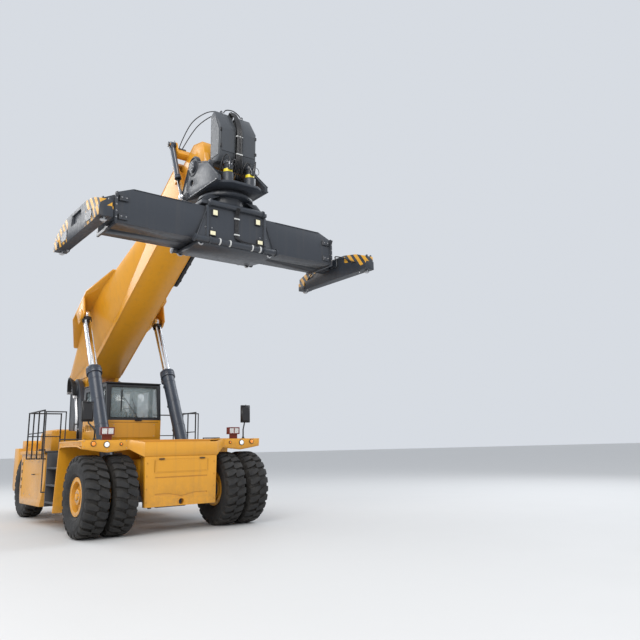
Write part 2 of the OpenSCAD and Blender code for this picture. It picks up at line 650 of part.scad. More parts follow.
module rotator_frame() {
    color(navy) {
        difference() {
            union() {
                cz(sx, 0, 560, 6700, 6765);
                bx(sx - 430, sx + 430, -760, 760, beam_z1 + 60, beam_z1 + 130);
                pair() px([[300, 6700], [700, beam_z1 + 130], [760, beam_z1 + 130], [560, 6700]], sx - 330, sx + 330);
                cz(sx, 0, 400, beam_z1 + 100, 6700);
            }
        }
        cz(sx, 0, 420, 6765, 6780 - e);
    }
}
module shift_carriage() {
    f = 420 + 12;
    color(navy) {
        for (m = [0, 1]) translate([sx, 0, 0]) mirror([m, 0, 0]) {
            px([[-900, beam_z0 + 20], [900, beam_z0 + 20], [640, beam_z1 + 60], [-640, beam_z1 + 60]], f, f + 35);
            cx2 = f + 60;
            translate([cx2, -640, beam_z1 + 70]) rotate([-90, 0, 0]) cylinder(r = 62, h = 1280);
            translate([cx2, -960, beam_z0 - 10]) rotate([-90, 0, 0]) cylinder(r = 62, h = 1920);
            py([[0, beam_z0 - 140], [f + 45, beam_z0 - 90], [f + 45, beam_z0 - 60], [f, beam_z0 - 40], [0, beam_z0 - 40]], -860, 860);
            pair() bx(f, f + 70, 640, 690, beam_z0 + 20, beam_z1);
            // slide pads under and beside the beam
            pair() bx(80, f - 60, 380, 620, beam_z0 - 45, beam_z0 - e);
            pair() bx(420 + e, f + 5, 300, 560, beam_z0 + 250, beam_z0 + 450);
        }
        bx(sx - f - 40, sx + f + 40, -640, 640, beam_z1 + 12, beam_z1 + 60);
    }
    color([0.9, 0.88, 0.7]) for (y = [-500, 500]) {
        bx(sx + f + 35, sx + f + 65, y - 60, y + 60, beam_z1 - 190, beam_z1 - 60);
        bx(sx + f + 35, sx + f + 65, y * 1.1 - 70, y * 1.1 + 70, beam_z0 + 90, beam_z0 + 190);
    }
}

// Spreader

module box_tube(x0, x1, y0, y1, z0, z1, t) {
    difference() { bx(x0, x1, y0, y1, z0, z1); bx(x0 + t, x1 - t, y0 - 10, y1 + 10, z0 + t, z1 - t); }
}
tt = 20;
slide = 8;                        // room round a telescope beam inside its tube
module main_beam() {
    color(navy) difference() {
        union() {
        box_tube(sx + 10, sx + 420, -beam_half, beam_half, beam_z0, beam_z1, tt);
        box_tube(sx - 420, sx - 10, -beam_half, beam_half, beam_z0, beam_z1, tt);
        for (y = [1 - beam_half, -20, beam_half - 41]) bx(sx - 10, sx + 10, y, y + 40, beam_z0, beam_z1 - 160);
        pair() difference() {
            bx(sx - 470, sx + 470, beam_half - 40, beam_half, beam_z0 - 40, beam_z1);
            bx(sx - 420, sx + 420, beam_half - 60, beam_half + 10, beam_z0, beam_z1 + 1);
        }
        }
        // the top slopes down over each end
        pair() px([[beam_half - 340, beam_z1 + 1], [beam_half + 1, beam_z1 - 140], [beam_half + 1, beam_z1 + 1]], sx - 480, sx + 480);
    }
    // slide pad in each mouth, under the beam that comes out of it
    color(black) for (m = [0, 180]) translate([sx, 0, 0]) rotate([0, 0, m])
        bx(-420 + tt + 40, -10 - tt - 40, beam_half - 200, beam_half - 20, beam_z0 + tt - 1, beam_z0 + tt + slide - e);
}
module gable() {
    difference() {
        union() {
            py([[sx - 1235, gable_z0], [sx + 1235, gable_z0], [sx + 1235, gable_z0 + 290], [sx + 900, gable_z0 + 410],
                [sx + 500, gable_z0 + 480], [sx - 500, gable_z0 + 480], [sx - 900, gable_z0 + 410], [sx - 1235, gable_z0 + 290]], gable_y - 100, gable_y + 100);
            for (x = [-1, 1]) bx(sx + x * twist_x / 2 - 120, sx + x * twist_x / 2 + 105.5, gable_y - 120, gable_y + 120, gable_z0 - 1, gable_z0 + 180);
        }
        for (x = [-1, 1]) cz(sx + x * twist_x / 2, gable_y, 30.05, gable_z0 - 5, gable_z0 + 181);
        py([[sx - 300, gable_z0 + 230], [sx + 300, gable_z0 + 230], [sx + 240, gable_z0 + 420], [sx - 240, gable_z0 + 420]], gable_y + 60, gable_y + 130);
    }
}
module telescope(side) {
    // the left beam slides in the rear tube, the right beam in the front tube
    x0 = side > 0 ? sx - 420 + tt + slide : sx + 10 + tt + slide;
    x1 = side > 0 ? sx - 10 - tt - slide : sx + 420 - tt - slide;
    tail = 340 - beam_half;
    z0 = beam_z0 + tt + slide;
    z1 = beam_z1 - tt - slide;
    color(navy) {
        mirror([0, side > 0 ? 0 : 1, 0]) {
            // the top slopes down towards the gable, as the main beam's ends do
            difference() {
                px([[tail, z0], [gable_y - 100, z0], [gable_y - 100, z1 - 313], [beam_half - 300, z1], [tail, z1]], x0, x1);
                px([[tail - 10, z0 + 14], [gable_y - 200, z0 + 14], [gable_y - 200, z1 - 283], [beam_half - 310, z1 - 14], [tail - 10, z1 - 14]], x0 + 14, x1 - 14);
            }
            gable();
            // slide pads at the tail
            bx(x0 + 40, x1 - 40, tail, tail + 150, z1 - 1, z1 + slide - e);
            for (x = [[x0 - slide + e, x0 + 1], [x1 - 1, x1 + slide - e]]) bx(x[0], x[1], tail, tail + 150, beam_z0 + 200, beam_z1 - 250);
        }
    }
}
module twistlock(x) {
    cz(x, gable_y, 30, gable_z0 - 45, gable_z0 + 150);
    hull() {
        bx(x - 27, x + 27, gable_y - 52, gable_y + 52, twist_tip_z + 20, gable_z0 - 28);
        bx(x - 14, x + 14, gable_y - 22, gable_y + 22, twist_tip_z, twist_tip_z + 5);
    }
}
module twistlock_at(x, y) { color(steel) mirror([0, y > 0 ? 0 : 1, 0]) twistlock(sx + x * twist_x / 2); }

world() chassis();
world() front_apron();
world() front_fenders();
world() platforms();
world() pair() side_box();  // side_boxes
world() pair() steps();
world() handrails();
world() tower();
world() rear_hood();
world() engine_block();
world() counterweight();
world() exhaust();
world() front_axle();
world() rear_axle();
world() knuckle();  // knuckle_left
world() mirror([0, 1, 0]) knuckle();  // knuckle_right
world() rim_front();  // rim_front_left
world() mirror([0, 1, 0]) rim_front();  // rim_front_right
world() rim_rear();  // rim_rear_left
world() mirror([0, 1, 0]) rim_rear();  // rim_rear_right
world() { tyre(0, fo); tyre(0, fi); }  // tyres_front_left
world() { tyre(0, -fo); tyre(0, -fi); }  // tyres_front_right
world() tyre(-wheelbase, ro);  // tyre_rear_left
world() tyre(-wheelbase, -ro);  // tyre_rear_right
world() cab_shell();
world() cab_glass();
world() door();  // door_left
world() mirror([0, 1, 0]) door();  // door_right
world() door_glass();  // door_glass_left
world() mirror([0, 1, 0]) door_glass();  // door_glass_right
world() cab_seat();
world() cab_console();
world() mirrors();
world() work_lamps();
world() outer_boom();
world() boom_side_plates();
world() boom_collar();
world() inner_boom();
world() boom_head();
world() hose_track();
world() lift_barrel(1);  // lift_barrel_left
world() lift_barrel(-1);  // lift_barrel_right
world() lift_rod(1);  // lift_rod_left
world() lift_rod(-1);  // lift_rod_right
world() head_yoke();
world() head_housing();
world() damper_barrel(1);  // damper_barrel_left
world() damper_barrel(-1);  // damper_barrel_right
world() damper_rod(1);  // damper_rod_left
world() damper_rod(-1);  // damper_rod_right
world() rotator_frame();
world() shift_carriage();
world() main_beam();
world() telescope(1);  // telescope_left
world() telescope(-1);  // telescope_right
world() twistlock_at(1, 1);  // twistlock_left_front
world() twistlock_at(-1, 1);  // twistlock_left_rear
world() twistlock_at(1, -1);  // twistlock_right_front
world() twistlock_at(-1, -1);  // twistlock_right_rear
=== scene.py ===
import bpy, bmesh
from itertools import product
from math import cos, sin, radians, tau as TAU
from mathutils import Vector, Matrix


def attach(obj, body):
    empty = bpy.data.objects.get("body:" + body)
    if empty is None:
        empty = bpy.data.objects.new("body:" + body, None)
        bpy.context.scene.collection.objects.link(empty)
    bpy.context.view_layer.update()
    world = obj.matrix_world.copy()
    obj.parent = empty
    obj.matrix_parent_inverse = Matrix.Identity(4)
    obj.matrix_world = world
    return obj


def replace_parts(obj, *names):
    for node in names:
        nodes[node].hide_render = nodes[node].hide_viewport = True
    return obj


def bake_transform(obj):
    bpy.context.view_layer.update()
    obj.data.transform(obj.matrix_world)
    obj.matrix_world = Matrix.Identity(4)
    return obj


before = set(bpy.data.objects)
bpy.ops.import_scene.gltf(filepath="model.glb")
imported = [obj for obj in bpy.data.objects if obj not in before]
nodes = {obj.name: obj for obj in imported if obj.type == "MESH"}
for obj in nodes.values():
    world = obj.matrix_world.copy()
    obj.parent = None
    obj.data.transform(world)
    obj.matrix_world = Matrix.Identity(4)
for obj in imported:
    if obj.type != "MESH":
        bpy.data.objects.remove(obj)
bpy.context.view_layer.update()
scene = bpy.context.scene
SIDES = (1, -1)  # left, right
NAMED_SIDES = (("left", 1), ("right", -1))

# Machine frame (front axle at x = 0, millimetres) to the row frame (metres)
SHIFT = 2.0325
PIV = (-4900.0, 3400.0)
ANG = radians(31)
CA, SA = cos(ANG), sin(ANG)


def M(x, y, z):
    return Vector((x / 1000 + SHIFT, y / 1000, z / 1000))


def B(x, y, z):
    "boom frame to the row frame"
    return M(PIV[0] + CA * x - SA * z, y, PIV[1] + SA * x + CA * z)


def new_object(name, data):
    ob = bpy.data.objects.new(name, data)
    bpy.context.collection.objects.link(ob)
    return ob


# Camera
# fitted to points on the machine in the photograph
CAM_AT = (13420, -6305, 1642)
PHOTO_PX, FOCAL_PX, CENTRE_Y = 640, 636.7, 303.84
yaw, pitch, roll = radians(141.68), radians(12.76), radians(1.41)
fw = Vector((cos(pitch) * cos(yaw), cos(pitch) * sin(yaw), sin(pitch)))
rt = Vector((sin(yaw), -cos(yaw), 0))
up = rt.cross(fw)
r2 = rt * cos(roll) - up * sin(roll)
u2 = rt * sin(roll) + up * cos(roll)
cam = bpy.data.cameras.new("camera")
cam.sensor_width = 36
cam.sensor_fit = "HORIZONTAL"
cam.lens = FOCAL_PX / PHOTO_PX * cam.sensor_width
cam.shift_y = -(PHOTO_PX / 2 - CENTRE_Y) / PHOTO_PX
cam.clip_end = 400
camo = new_object("camera", cam)
m = Matrix((r2, u2, -fw)).transposed().to_4x4()
m.translation = M(*CAM_AT)
camo.matrix_world = m
scene.camera = camo


# Materials
class Mat:
    def __init__(self, name):
        self.m = bpy.data.materials.new(name)
        self.m.use_nodes = True
        self.t = self.m.node_tree
        self.b = self.t.nodes["Principled BSDF"]
        self.tc = self.n("ShaderNodeTexCoord")

    def n(self, kind, **kw):
        nd = self.t.nodes.new(kind)
        for k, v in kw.items():
            setattr(nd, k, v)
        return nd

    def l(self, a, b):
        self.t.links.new(a, b)

    def noise(self, scale, detail=4, rough=0.55, stretch=None):
        nd = self.n("ShaderNodeTexNoise")
        nd.inputs["Scale"].default_value = scale
        nd.inputs["Detail"].default_value = detail
        nd.inputs["Roughness"].default_value = rough
        src = self.tc.outputs["Object"]
        if stretch:
            mp = self.n("ShaderNodeMapping")
            mp.inputs["Scale"].default_value = stretch
            self.l(src, mp.inputs["Vector"])
            src = mp.outputs["Vector"]
        self.l(src, nd.inputs["Vector"])
        return nd.outputs["Fac"]

    def ramp(self, fac, a, b, ca=(0, 0, 0, 1), cb=(1, 1, 1, 1)):
        nd = self.n("ShaderNodeValToRGB")
        nd.color_ramp.elements[0].position = a
        nd.color_ramp.elements[1].position = b
        nd.color_ramp.elements[0].color = ca
        nd.color_ramp.elements[1].color = cb
        self.l(fac, nd.inputs["Fac"])
        return nd.outputs["Color"]

    def mix(self, fac, a, b):
        nd = self.n("ShaderNodeMix", data_type="RGBA")
        if hasattr(fac, "is_linked"):
            self.l(fac, nd.inputs[0])
        else:
            nd.inputs[0].default_value = fac
        for s, v in ((6, a), (7, b)):
            if hasattr(v, "is_linked"):
                self.l(v, nd.inputs[s])
            else:
                nd.inputs[s].default_value = (*v, 1)
        return nd.outputs[2]

    def math(self, op, a, b=0.0, c=0.0):
        nd = self.n("ShaderNodeMath", operation=op)
        for i, v in enumerate((a, b, c)):
            if hasattr(v, "is_linked"):
                self.l(v, nd.inputs[i])
            else:
                nd.inputs[i].default_value = v
        return nd.outputs[0]

    def xyz(self):
        nd = self.n("ShaderNodeSeparateXYZ")
        self.l(self.tc.outputs["Object"], nd.inputs[0])
        return nd.outputs

    def bump(self, height, strength=0.3, dist=0.002):
        nd = self.n("ShaderNodeBump")
        nd.inputs["Strength"].default_value = strength
        nd.inputs["Distance"].default_value = dist
        self.l(height, nd.inputs["Height"])
        self.l(nd.outputs["Normal"], self.b.inputs["Normal"])

    def put(self, name, value):
        self.b.inputs[name].default_value = value

    def coat(self, weight, rough):
        self.put("Coat Weight", weight)
        self.put("Coat Roughness", rough)

    def color(self, c):
        self.l(c, self.b.inputs["Base Color"])

    def patchy(self, scale, detail, a, b, lo, hi):
        "roughness that wanders between lo and hi"
        r = self.ramp(self.noise(scale, detail), a, b, (lo, lo, lo, 1), (hi, hi, hi, 1))
        self.l(r, self.b.inputs["Roughness"])

    def mul(self, a, b):
        return self.math("MULTIPLY", a, b)


def crevice_shade_and_dust(k, amount):
    """how enclosed a crevice is, from the shape itself: the paint gets painted shade there, the tyres get
    dust
    """
    ao = k.n("ShaderNodeAmbientOcclusion", samples=6)
    ao.inputs["Distance"].default_value = 0.18
    return k.mul(k.math("SUBTRACT", 1.0, ao.outputs["AO"]), amount)


def paint_color(k, base, dirt, streak=0.25, low=True):
    """gloss paint with broad tone changes, rain streaks, painted shade in crevices and road dirt low down"""
    broad = k.ramp(k.noise(1.3, 3), 0.35, 0.7)
    c = k.mix(k.mul(broad, 0.22), base, tuple(v * 0.80 for v in base))
    fine = k.ramp(k.noise(38, 5, 0.7), 0.46, 0.72)
    c = k.mix(k.mul(fine, 0.10), c, tuple(min(1, v * 1.18 + 0.01) for v in base))
    run = k.ramp(k.noise(6, 4, 0.6, stretch=(1.6, 1.6, 0.09)), 0.52, 0.78)
    c = k.mix(k.mul(run, streak), c, dirt)
    # painted shade: crevices found by ambient occlusion are darkened to a dark tone of the dirt colour
    c = k.mix(crevice_shade_and_dust(k, 0.40), c, tuple(v * 0.4 for v in dirt))
    if low:
        z = k.xyz()[2]
        h = k.math("SUBTRACT", 1.0, k.mul(z, 0.85))
        splash = k.mul(k.math("MAXIMUM", h, 0.0), k.ramp(k.noise(9, 6, 0.7), 0.35, 0.68))
        c = k.mix(k.mul(splash, 0.62), c, dirt)
    return c


YEL = (0.74, 0.335, 0.018)
DIRT = (0.16, 0.115, 0.07)
SOOT = (0.10, 0.085, 0.07)
DARK = (0.030, 0.036, 0.047)


def gloss_paint(name, base, rough=(0.34, 0.58), dirt=SOOT, streak=0.20, grain=14, coat=(0.25, 0.22),
                fine=(140, 0.12)):
    "coated paint; grain is the scale of its sheen's patches, fine the scale and strength of its bumps"
    k = Mat(name)
    k.color(paint_color(k, base, dirt, streak))
    k.patchy(grain, 5, 0.25, 0.8, *rough)
    k.coat(*coat)
    k.bump(k.noise(fine[0], 3), fine[1], 0.001)
    return k.m


def cab_paint():
    "yellow lower panels under a black window frame; the border slopes down to the front"
    k = Mat("cab paint")
    x, _, z = k.xyz()
    border = k.math("MULTIPLY_ADD", x, -0.16, 2.435 - 0.16 * 0.13)
    mask = k.math("GREATER_THAN", z, border)
    yel = paint_color(k, YEL, DIRT, 0.12)
    k.color(k.mix(mask, yel, (0.018, 0.019, 0.022)))
    k.put("Roughness", 0.36)
    k.coat(0.3, 0.2)
    k.bump(k.noise(150, 3), 0.10, 0.001)
    return k.m


def gable_paint():
    "dark paint with slanting yellow stripes on the end beams' outer faces and noses"
    k = Mat("end beam paint")
    x, y, z = k.xyz()
    dark = paint_color(k, DARK, SOOT, 0.2)
    yel = paint_color(k, (0.70, 0.36, 0.03), DIRT, 0.25)
    ay = k.math("ABSOLUTE", y)
    ns = k.n("ShaderNodeSeparateXYZ")
    k.l(k.tc.outputs["Normal"], ns.inputs[0])
    side = k.math("GREATER_THAN", k.mul(k.math("SIGN", y), ns.outputs[1]), 0.7)
    top = k.math("GREATER_THAN", ns.outputs[2], 0.05)
    face = k.math("MAXIMUM", side, top)
    inb = k.math("GREATER_THAN", ay, 2.80)
    nose = k.math("GREATER_THAN", k.math("ABSOLUTE", k.math("SUBTRACT", x, 2.3 + SHIFT)), 0.50)
    ph = k.mul(k.math("ADD", k.math("ADD", x, k.mul(z, 0.75)), k.mul(ay, 0.6)), 5.2)
    st = k.math("GREATER_THAN", k.math("FRACT", ph), 0.48)
    worn = k.math("LESS_THAN", k.noise(26, 5, 0.75), 0.64)
    mask = k.mul(k.mul(k.mul(st, worn), k.mul(inb, nose)), face)
    k.color(k.mix(mask, dark, yel))
    k.patchy(14, 5, 0.25, 0.8, 0.36, 0.6)
    k.bump(k.noise(140, 3), 0.12, 0.001)
    return k.m


def tread_rubber():
    k = Mat("tyre rubber")
    dust = k.ramp(k.noise(5, 6, 0.7), 0.42, 0.72)
    c = k.mix(k.mul(dust, 0.5), (0.012, 0.012, 0.013), (0.050, 0.046, 0.040))
    # dust in the grooves, lighter than the rubber, laid with the same crevice mask
    c = k.mix(crevice_shade_and_dust(k, 0.55), c, (0.055, 0.047, 0.038))
    k.color(c)
    k.patchy(20, 5, 0.3, 0.7, 0.60, 0.88)
    k.bump(k.noise(95, 5, 0.7), 0.25, 0.003)
    return k.m


def plain(name, base, rough=0.5, metal=0.0, bump=(120, 0.15), coat=0.0, vary=0.25, emit=0.0):
    k = Mat(name)
    v = k.ramp(k.noise(17, 5), 0.35, 0.7)
    k.color(k.mix(k.mul(v, vary), base, tuple(c * 0.6 for c in base)))
    k.patchy(31, 4, 0.3, 0.75, rough * 0.8, min(1, rough * 1.2))
    k.put("Metallic", metal)
    k.put("Coat Weight", coat)
    if emit:
        k.put("Emission Color", (*base, 1))
        k.put("Emission Strength", emit)
    if bump:
        k.bump(k.noise(bump[0], 3), bump[1], 0.001)
    return k.m


def chrome(name, base=(0.86, 0.87, 0.89), rough=0.12):
    k = Mat(name)
    ring = k.ramp(k.noise(60, 4), 0.3, 0.8)
    k.color(k.mix(k.mul(ring, 0.15), base, (0.55, 0.55, 0.56)))
    k.patchy(45, 5, 0.3, 0.75, rough, rough + 0.14)
    k.put("Metallic", 1.0)
    return k.m


def grating():
    "dark tread plate with rows of raised bars"
    k = Mat("tread plate")
    k.color(paint_color(k, (0.040, 0.042, 0.048), (0.13, 0.11, 0.085), 0.2, low=False))
    k.put("Roughness", 0.55)
    x, y, _ = k.xyz()
    a = k.math("ABSOLUTE", k.math("SUBTRACT", k.math("FRACT", k.mul(k.math("ADD", x, y), 18.0)), 0.5))
    b = k.math("ABSOLUTE", k.math("SUBTRACT", k.math("FRACT", k.mul(k.math("SUBTRACT", x, y), 18.0)), 0.5))
    h = k.mul(k.math("GREATER_THAN", a, 0.3), k.math("LESS_THAN", b, 0.3))
    k.bump(h, 0.6, 0.004)
    return k.m


def glass():
    k = Mat("window glass")
    k.color(k.mix(k.ramp(k.noise(3, 3), 0.4, 0.7), (0.50, 0.60, 0.62), (0.42, 0.52, 0.55)))
    k.put("Alpha", 0.36)
    k.put("Roughness", 0.05)
    k.put("Specular IOR Level", 0.8)
    k.coat(0.6, 0.03)
    return k.m


Y = gloss_paint("yellow paint", YEL, (0.30, 0.50), DIRT, 0.16, 22, (0.35, 0.18), (160, 0.10))
N = gloss_paint("dark paint", DARK)
NG = gloss_paint("grey paint", (0.055, 0.062, 0.072), (0.4, 0.6))
NB = gloss_paint("barrel paint", (0.040, 0.052, 0.075), (0.3, 0.5))
CAB = cab_paint()
GAB = gable_paint()
TR = tread_rubber()
PLATE = grating()
BLK = plain("black plastic", (0.016, 0.016, 0.018), 0.5)
HOSE = plain("hose rubber", (0.014, 0.014, 0.016), 0.42, bump=(220, 0.2))
SEATM = plain("seat cloth", (0.030, 0.031, 0.035), 0.85, bump=(400, 0.5))
CHR = chrome("chromed rod")
STL = chrome("bare steel", (0.50, 0.50, 0.51), 0.34)
GLS = glass()
AMB = plain("amber lens", (0.95, 0.28, 0.02), 0.15, coat=0.8, bump=(260, 0.3), emit=0.25)
WHT = plain("white lens", (0.86, 0.87, 0.86), 0.12, coat=0.8, bump=(260, 0.3), emit=0.30)
PALE = plain("lamp lens", (0.70, 0.66, 0.45), 0.25, coat=0.5, bump=(240, 0.3), emit=0.35)
REDP = plain("lamp guard red", (0.16, 0.020, 0.014), 0.4, coat=0.3)
REDL = plain("red lens", (0.60, 0.015, 0.01), 0.15, coat=0.8, emit=0.12)
YB = plain("bright yellow band", (0.85, 0.68, 0.03), 0.4)
MIR = chrome("mirror glass", (0.85, 0.88, 0.9), 0.04)
WCL = plain("pale clip", (0.62, 0.63, 0.62), 0.5)
RST = plain("rusty steel", (0.20, 0.085, 0.035), 0.8, vary=0.6)


# Mesh maker
def frame_of(d):
    d = d.normalized()
    a = Vector((0, 0, 1)) if abs(d.z) < 0.9 else Vector((1, 0, 0))
    u = d.cross(a).normalized()
    return d, u, d.cross(u).normalized()


def circle(n, r, off=0.0):
    "n pairs on a circle of radius r; off turns them by a part of a pitch"
    return [(r * cos(TAU * (k + off) / n), r * sin(TAU * (k + off) / n)) for k in range(n)]


def sleeve(r0, r1, h):
    "profile of a short pipe"
    return [(0, r0), (0, r1), (h, r1), (h, r0)]


def skin(rows, cols, closed=False):
    "faces over a row of rings; closed joins the last ring to the first, otherwise both ends are capped"
    fs = []
    for i, j in product(range(rows if closed else rows - 1), range(cols)):
        i2, j2 = (i + 1) % rows, (j + 1) % cols
        fs.append([i * cols + j, i2 * cols + j, i2 * cols + j2, i * cols + j2])
    return fs if closed else fs + [list(range(cols)), list(range((rows - 1) * cols, rows * cols))]


def smooth_path(pts, step=0.03):
    "a curve through the points, sampled evenly enough for a hose"
    p = [pts[0] * 2 - pts[1]] + list(pts) + [pts[-1] * 2 - pts[-2]]
    out = []
    for i in range(1, len(p) - 2):
        n = max(3, int((p[i + 1] - p[i]).length / step))
        n = min(n, 14)
        for j in range(n):
            t = j / n
            a, b, c, d = p[i - 1], p[i], p[i + 1], p[i + 2]
            bend = (2 * a - 5 * b + 4 * c - d) * t * t
            out.append(0.5 * ((2 * b) + (c - a) * t + bend + (3 * b - a - 3 * c + d) * t ** 3))
    out.append(pts[-1])
    return out


class Piece:
    def __init__(self, name, body, *mats, angle=32):
        self.name, self.body, self.mats, self.angle = name, body, mats, angle
        self.v, self.f, self.i = [], [], []

    def add(self, verts, faces, mi=0):
        o = len(self.v)
        self.v += [Vector(p) for p in verts]
        self.f += [[o + k for k in q] for q in faces]
        self.i += [mi] * len(faces)

    def box(self, fr, x0, x1, y0, y1, z0, z1, mi=0, ch=4.0):
        "a box with chamfered edges, its limits in either order, in millimetres of the frame fr"
        (x0, x1), (y0, y1), (z0, z1) = sorted((x0, x1)), sorted((y0, y1)), sorted((z0, z1))
        ch = min(ch, (x1 - x0) * 0.45, (y1 - y0) * 0.45, (z1 - z0) * 0.45)
        vs, ix = [], {}
        corners = list(product((0, 1), repeat=3))
        for a, b, c in corners:
            x, y, z = (x0, x1)[a], (y0, y1)[b], (z0, z1)[c]
            dx, dy, dz = (ch, -ch)[a], (ch, -ch)[b], (ch, -ch)[c]
            for k, p in enumerate(((x, y + dy, z + dz), (x + dx, y, z + dz), (x + dx, y + dy, z))):
                ix[a, b, c, k] = len(vs)
                vs.append(fr(*p))
        fs = []
        for s in (0, 1):
            fs.append([ix[s, 0, 0, 0], ix[s, 1, 0, 0], ix[s, 1, 1, 0], ix[s, 0, 1, 0]])
            fs.append([ix[0, s, 0, 1], ix[1, s, 0, 1], ix[1, s, 1, 1], ix[0, s, 1, 1]])
            fs.append([ix[0, 0, s, 2], ix[1, 0, s, 2], ix[1, 1, s, 2], ix[0, 1, s, 2]])
        for s, t in product((0, 1), repeat=2):
            fs.append([ix[s, t, 0, 0], ix[s, t, 0, 1], ix[s, t, 1, 1], ix[s, t, 1, 0]])
            fs.append([ix[s, 0, t, 0], ix[s, 0, t, 2], ix[s, 1, t, 2], ix[s, 1, t, 0]])
            fs.append([ix[0, s, t, 1], ix[0, s, t, 2], ix[1, s, t, 2], ix[1, s, t, 1]])
        fs += [[ix[a, b, c, k] for k in range(3)] for a, b, c in corners]
        self.add(vs, fs, mi)

    def plate(self, fr, pts, y0, y1, mi=0):
        "a flat plate from y0 to y1 with the outline pts in x and z"
        n = len(pts)
        vs = [fr(x, y, z) for y in sorted((y0, y1)) for x, z in pts]
        fs = [list(range(n)), list(range(n, 2 * n))]
        fs += [[k, (k + 1) % n, n + (k + 1) % n, n + k] for k in range(n)]
        self.add(vs, fs, mi)

    def turn(self, c, d, prof, n=24, mi=0):
        "a body of revolution: prof is (distance along d, radius) in metres, closed where the radius is 0"
        d, u, w = frame_of(Vector(d))
        vs, fs, rows = [], [], []
        for a, r in prof:
            if r < 1e-6:
                rows.append([len(vs)])
                vs.append(c + d * a)
            else:
                rows.append(list(range(len(vs), len(vs) + n)))
                vs += [c + d * a + (u * cos(TAU * k / n) + w * sin(TAU * k / n)) * r for k in range(n)]
        for p, q in zip(rows, rows[1:]):
            for k in range(n):
                k2 = (k + 1) % n
                if len(p) == 1 and len(q) == 1:
                    continue
                if len(p) == 1:
                    fs.append([p[0], q[k], q[k2]])
                elif len(q) == 1:
                    fs.append([p[k], p[k2], q[0]])
                else:
                    fs.append([p[k], p[k2], q[k2], q[k]])
        self.add(vs, fs, mi)

    def cyl(self, a, b, r, n=20, mi=0, ch=None):
        d = b - a
        L = d.length
        c = min(0.18 * r, L * 0.3) if ch is None else ch
        self.turn(a, d, [(0, 0), (0, r - c), (c, r), (L - c, r), (L, r - c), (L, 0)], n, mi)

    def bolt(self, p, d, r, h, mi=0):
        d = Vector(d).normalized()
        self.turn(p, d, [(0, 0), (0, r * 1.35), (h * 0.22, r * 1.35), (h * 0.25, r * 1.2)], 14, mi)
        self.turn(p, d, [(h * 0.2, r), (h * 0.85, r), (h, r * 0.8), (h, 0)], 6, mi)

    def ring(self, c, d, R, r, n=28, m=8, mi=0):
        d, u, w = frame_of(Vector(d))
        vs = []
        for k in range(n):
            e = u * cos(TAU * k / n) + w * sin(TAU * k / n)
            vs += [c + e * (R + r * cos(TAU * j / m)) + d * r * sin(TAU * j / m) for j in range(m)]
        self.add(vs, skin(n, m, closed=True), mi)

    def tube(self, pts, r, n=10, mi=0, soft=True):
        p = smooth_path(pts) if soft else list(pts)
        u = frame_of(p[1] - p[0])[1]
        vs = []
        for k, c in enumerate(p):
            t = (p[min(k + 1, len(p) - 1)] - p[max(k - 1, 0)]).normalized()
            u = (u - t * u.dot(t)).normalized()
            w = t.cross(u)
            vs += [c + (u * cos(TAU * j / n) + w * sin(TAU * j / n)) * r for j in range(n)]
        self.add(vs, skin(len(p), n), mi)

    def hose(self, pts, r, mi=0, fit=1):
        "a hose with a crimped steel end at each side"
        self.tube(pts, r, mi=mi)
        for a, b in ((pts[0], pts[1]), (pts[-1], pts[-2])):
            d = (b - a).normalized()
            self.turn(a - d * 0.004, d, [(0, 0), (0, r * 1.35), (0.03, r * 1.35), (0.034, r * 1.15),
                (0.07, r * 1.2), (0.072, r * 0.9)], 8, fit)

    def rail(self, pts, r, n=8, mi=0):
        "a tube with straight runs"
        self.tube(pts, r, n, mi, soft=False)

    def done(self, ride=True):
        me = bpy.data.meshes.new(self.name)
        me.from_pydata(self.v, [], self.f)
        for m_ in self.mats:
            me.materials.append(m_)
        me.polygons.foreach_set("material_index", self.i)
        bm = bmesh.new()
        bm.from_mesh(me)
        bmesh.ops.recalc_face_normals(bm, faces=bm.faces)
        bm.to_mesh(me)
        bm.free()
        me.shade_smooth()
        me.set_sharp_from_angle(angle=radians(self.angle))
        ob = new_object(self.name, me)
        if ride:
            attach(ob, self.body)
        return ob


# Tyres
TYRE_R = 807.5
WHEELBASE = 6000
TWIN_OUT, TWIN_IN, REAR_Y = 1826, 1246, 1351


def tyre(p, cx, cy, side):
    "carcass with moulded rings, and slanted lugs on each side of the tread, half a pitch apart"
    c = M(cx, cy, TYRE_R)
    # (radius, offset from the middle) up one side of the carcass
    half = [(318, -165), (352, -168), (386, -166), (392, -176), (404, -186), (440, -214), (446, -221),
            (470, -229), (476, -226), (520, -240), (600, -248), (640, -246), (646, -242), (690, -236),
            (722, -222), (742, -200), (750, -160), (752, -80)]
    prof = half + [(753, 0)] + [(r, -a) for r, a in reversed(half)]
    n, m = 80, len(prof)
    vs = [c + Vector((x, a, z)) / 1000 for r, a in prof for x, z in circle(n, r)]
    p.add(vs, skin(m, n, closed=True))
    lugs = 25
    # (offset, radius, shift, width) along a lug, the last two as parts of a pitch
    rows = [(-12, 803, 0.0, 0.40), (38, 807.3, 0.04, 0.52), (92, 807.3, 0.16, 0.60), (150, 806, 0.26, 0.62),
        (196, 796, 0.30, 0.62), (228, 770, 0.31, 0.60), (240, 728, 0.31, 0.54)]
    for sgn in (-1, 1):
        for k in range(lugs):
            t0 = TAU * (k + (0.5 if sgn > 0 else 0)) / lugs
            vs = []
            for a, rt_, off, w in rows:
                mid = t0 + sgn * side * off * TAU / lugs
                hw = w * 0.5 * TAU / lugs
                base = 745 if a < 200 else 738 if a < 235 else 690
                across = [(-1.06, base), (-1, rt_ - 5), (-0.93, rt_), (0, rt_), (0.93, rt_),
                    (1, rt_ - 5), (1.06, base)]
                for dt, rr in across:
                    th = mid + hw * dt
                    vs.append(c + Vector((cos(th) * rr, sgn * a, sin(th) * rr)) / 1000)
            p.add(vs, skin(len(rows), len(across)))


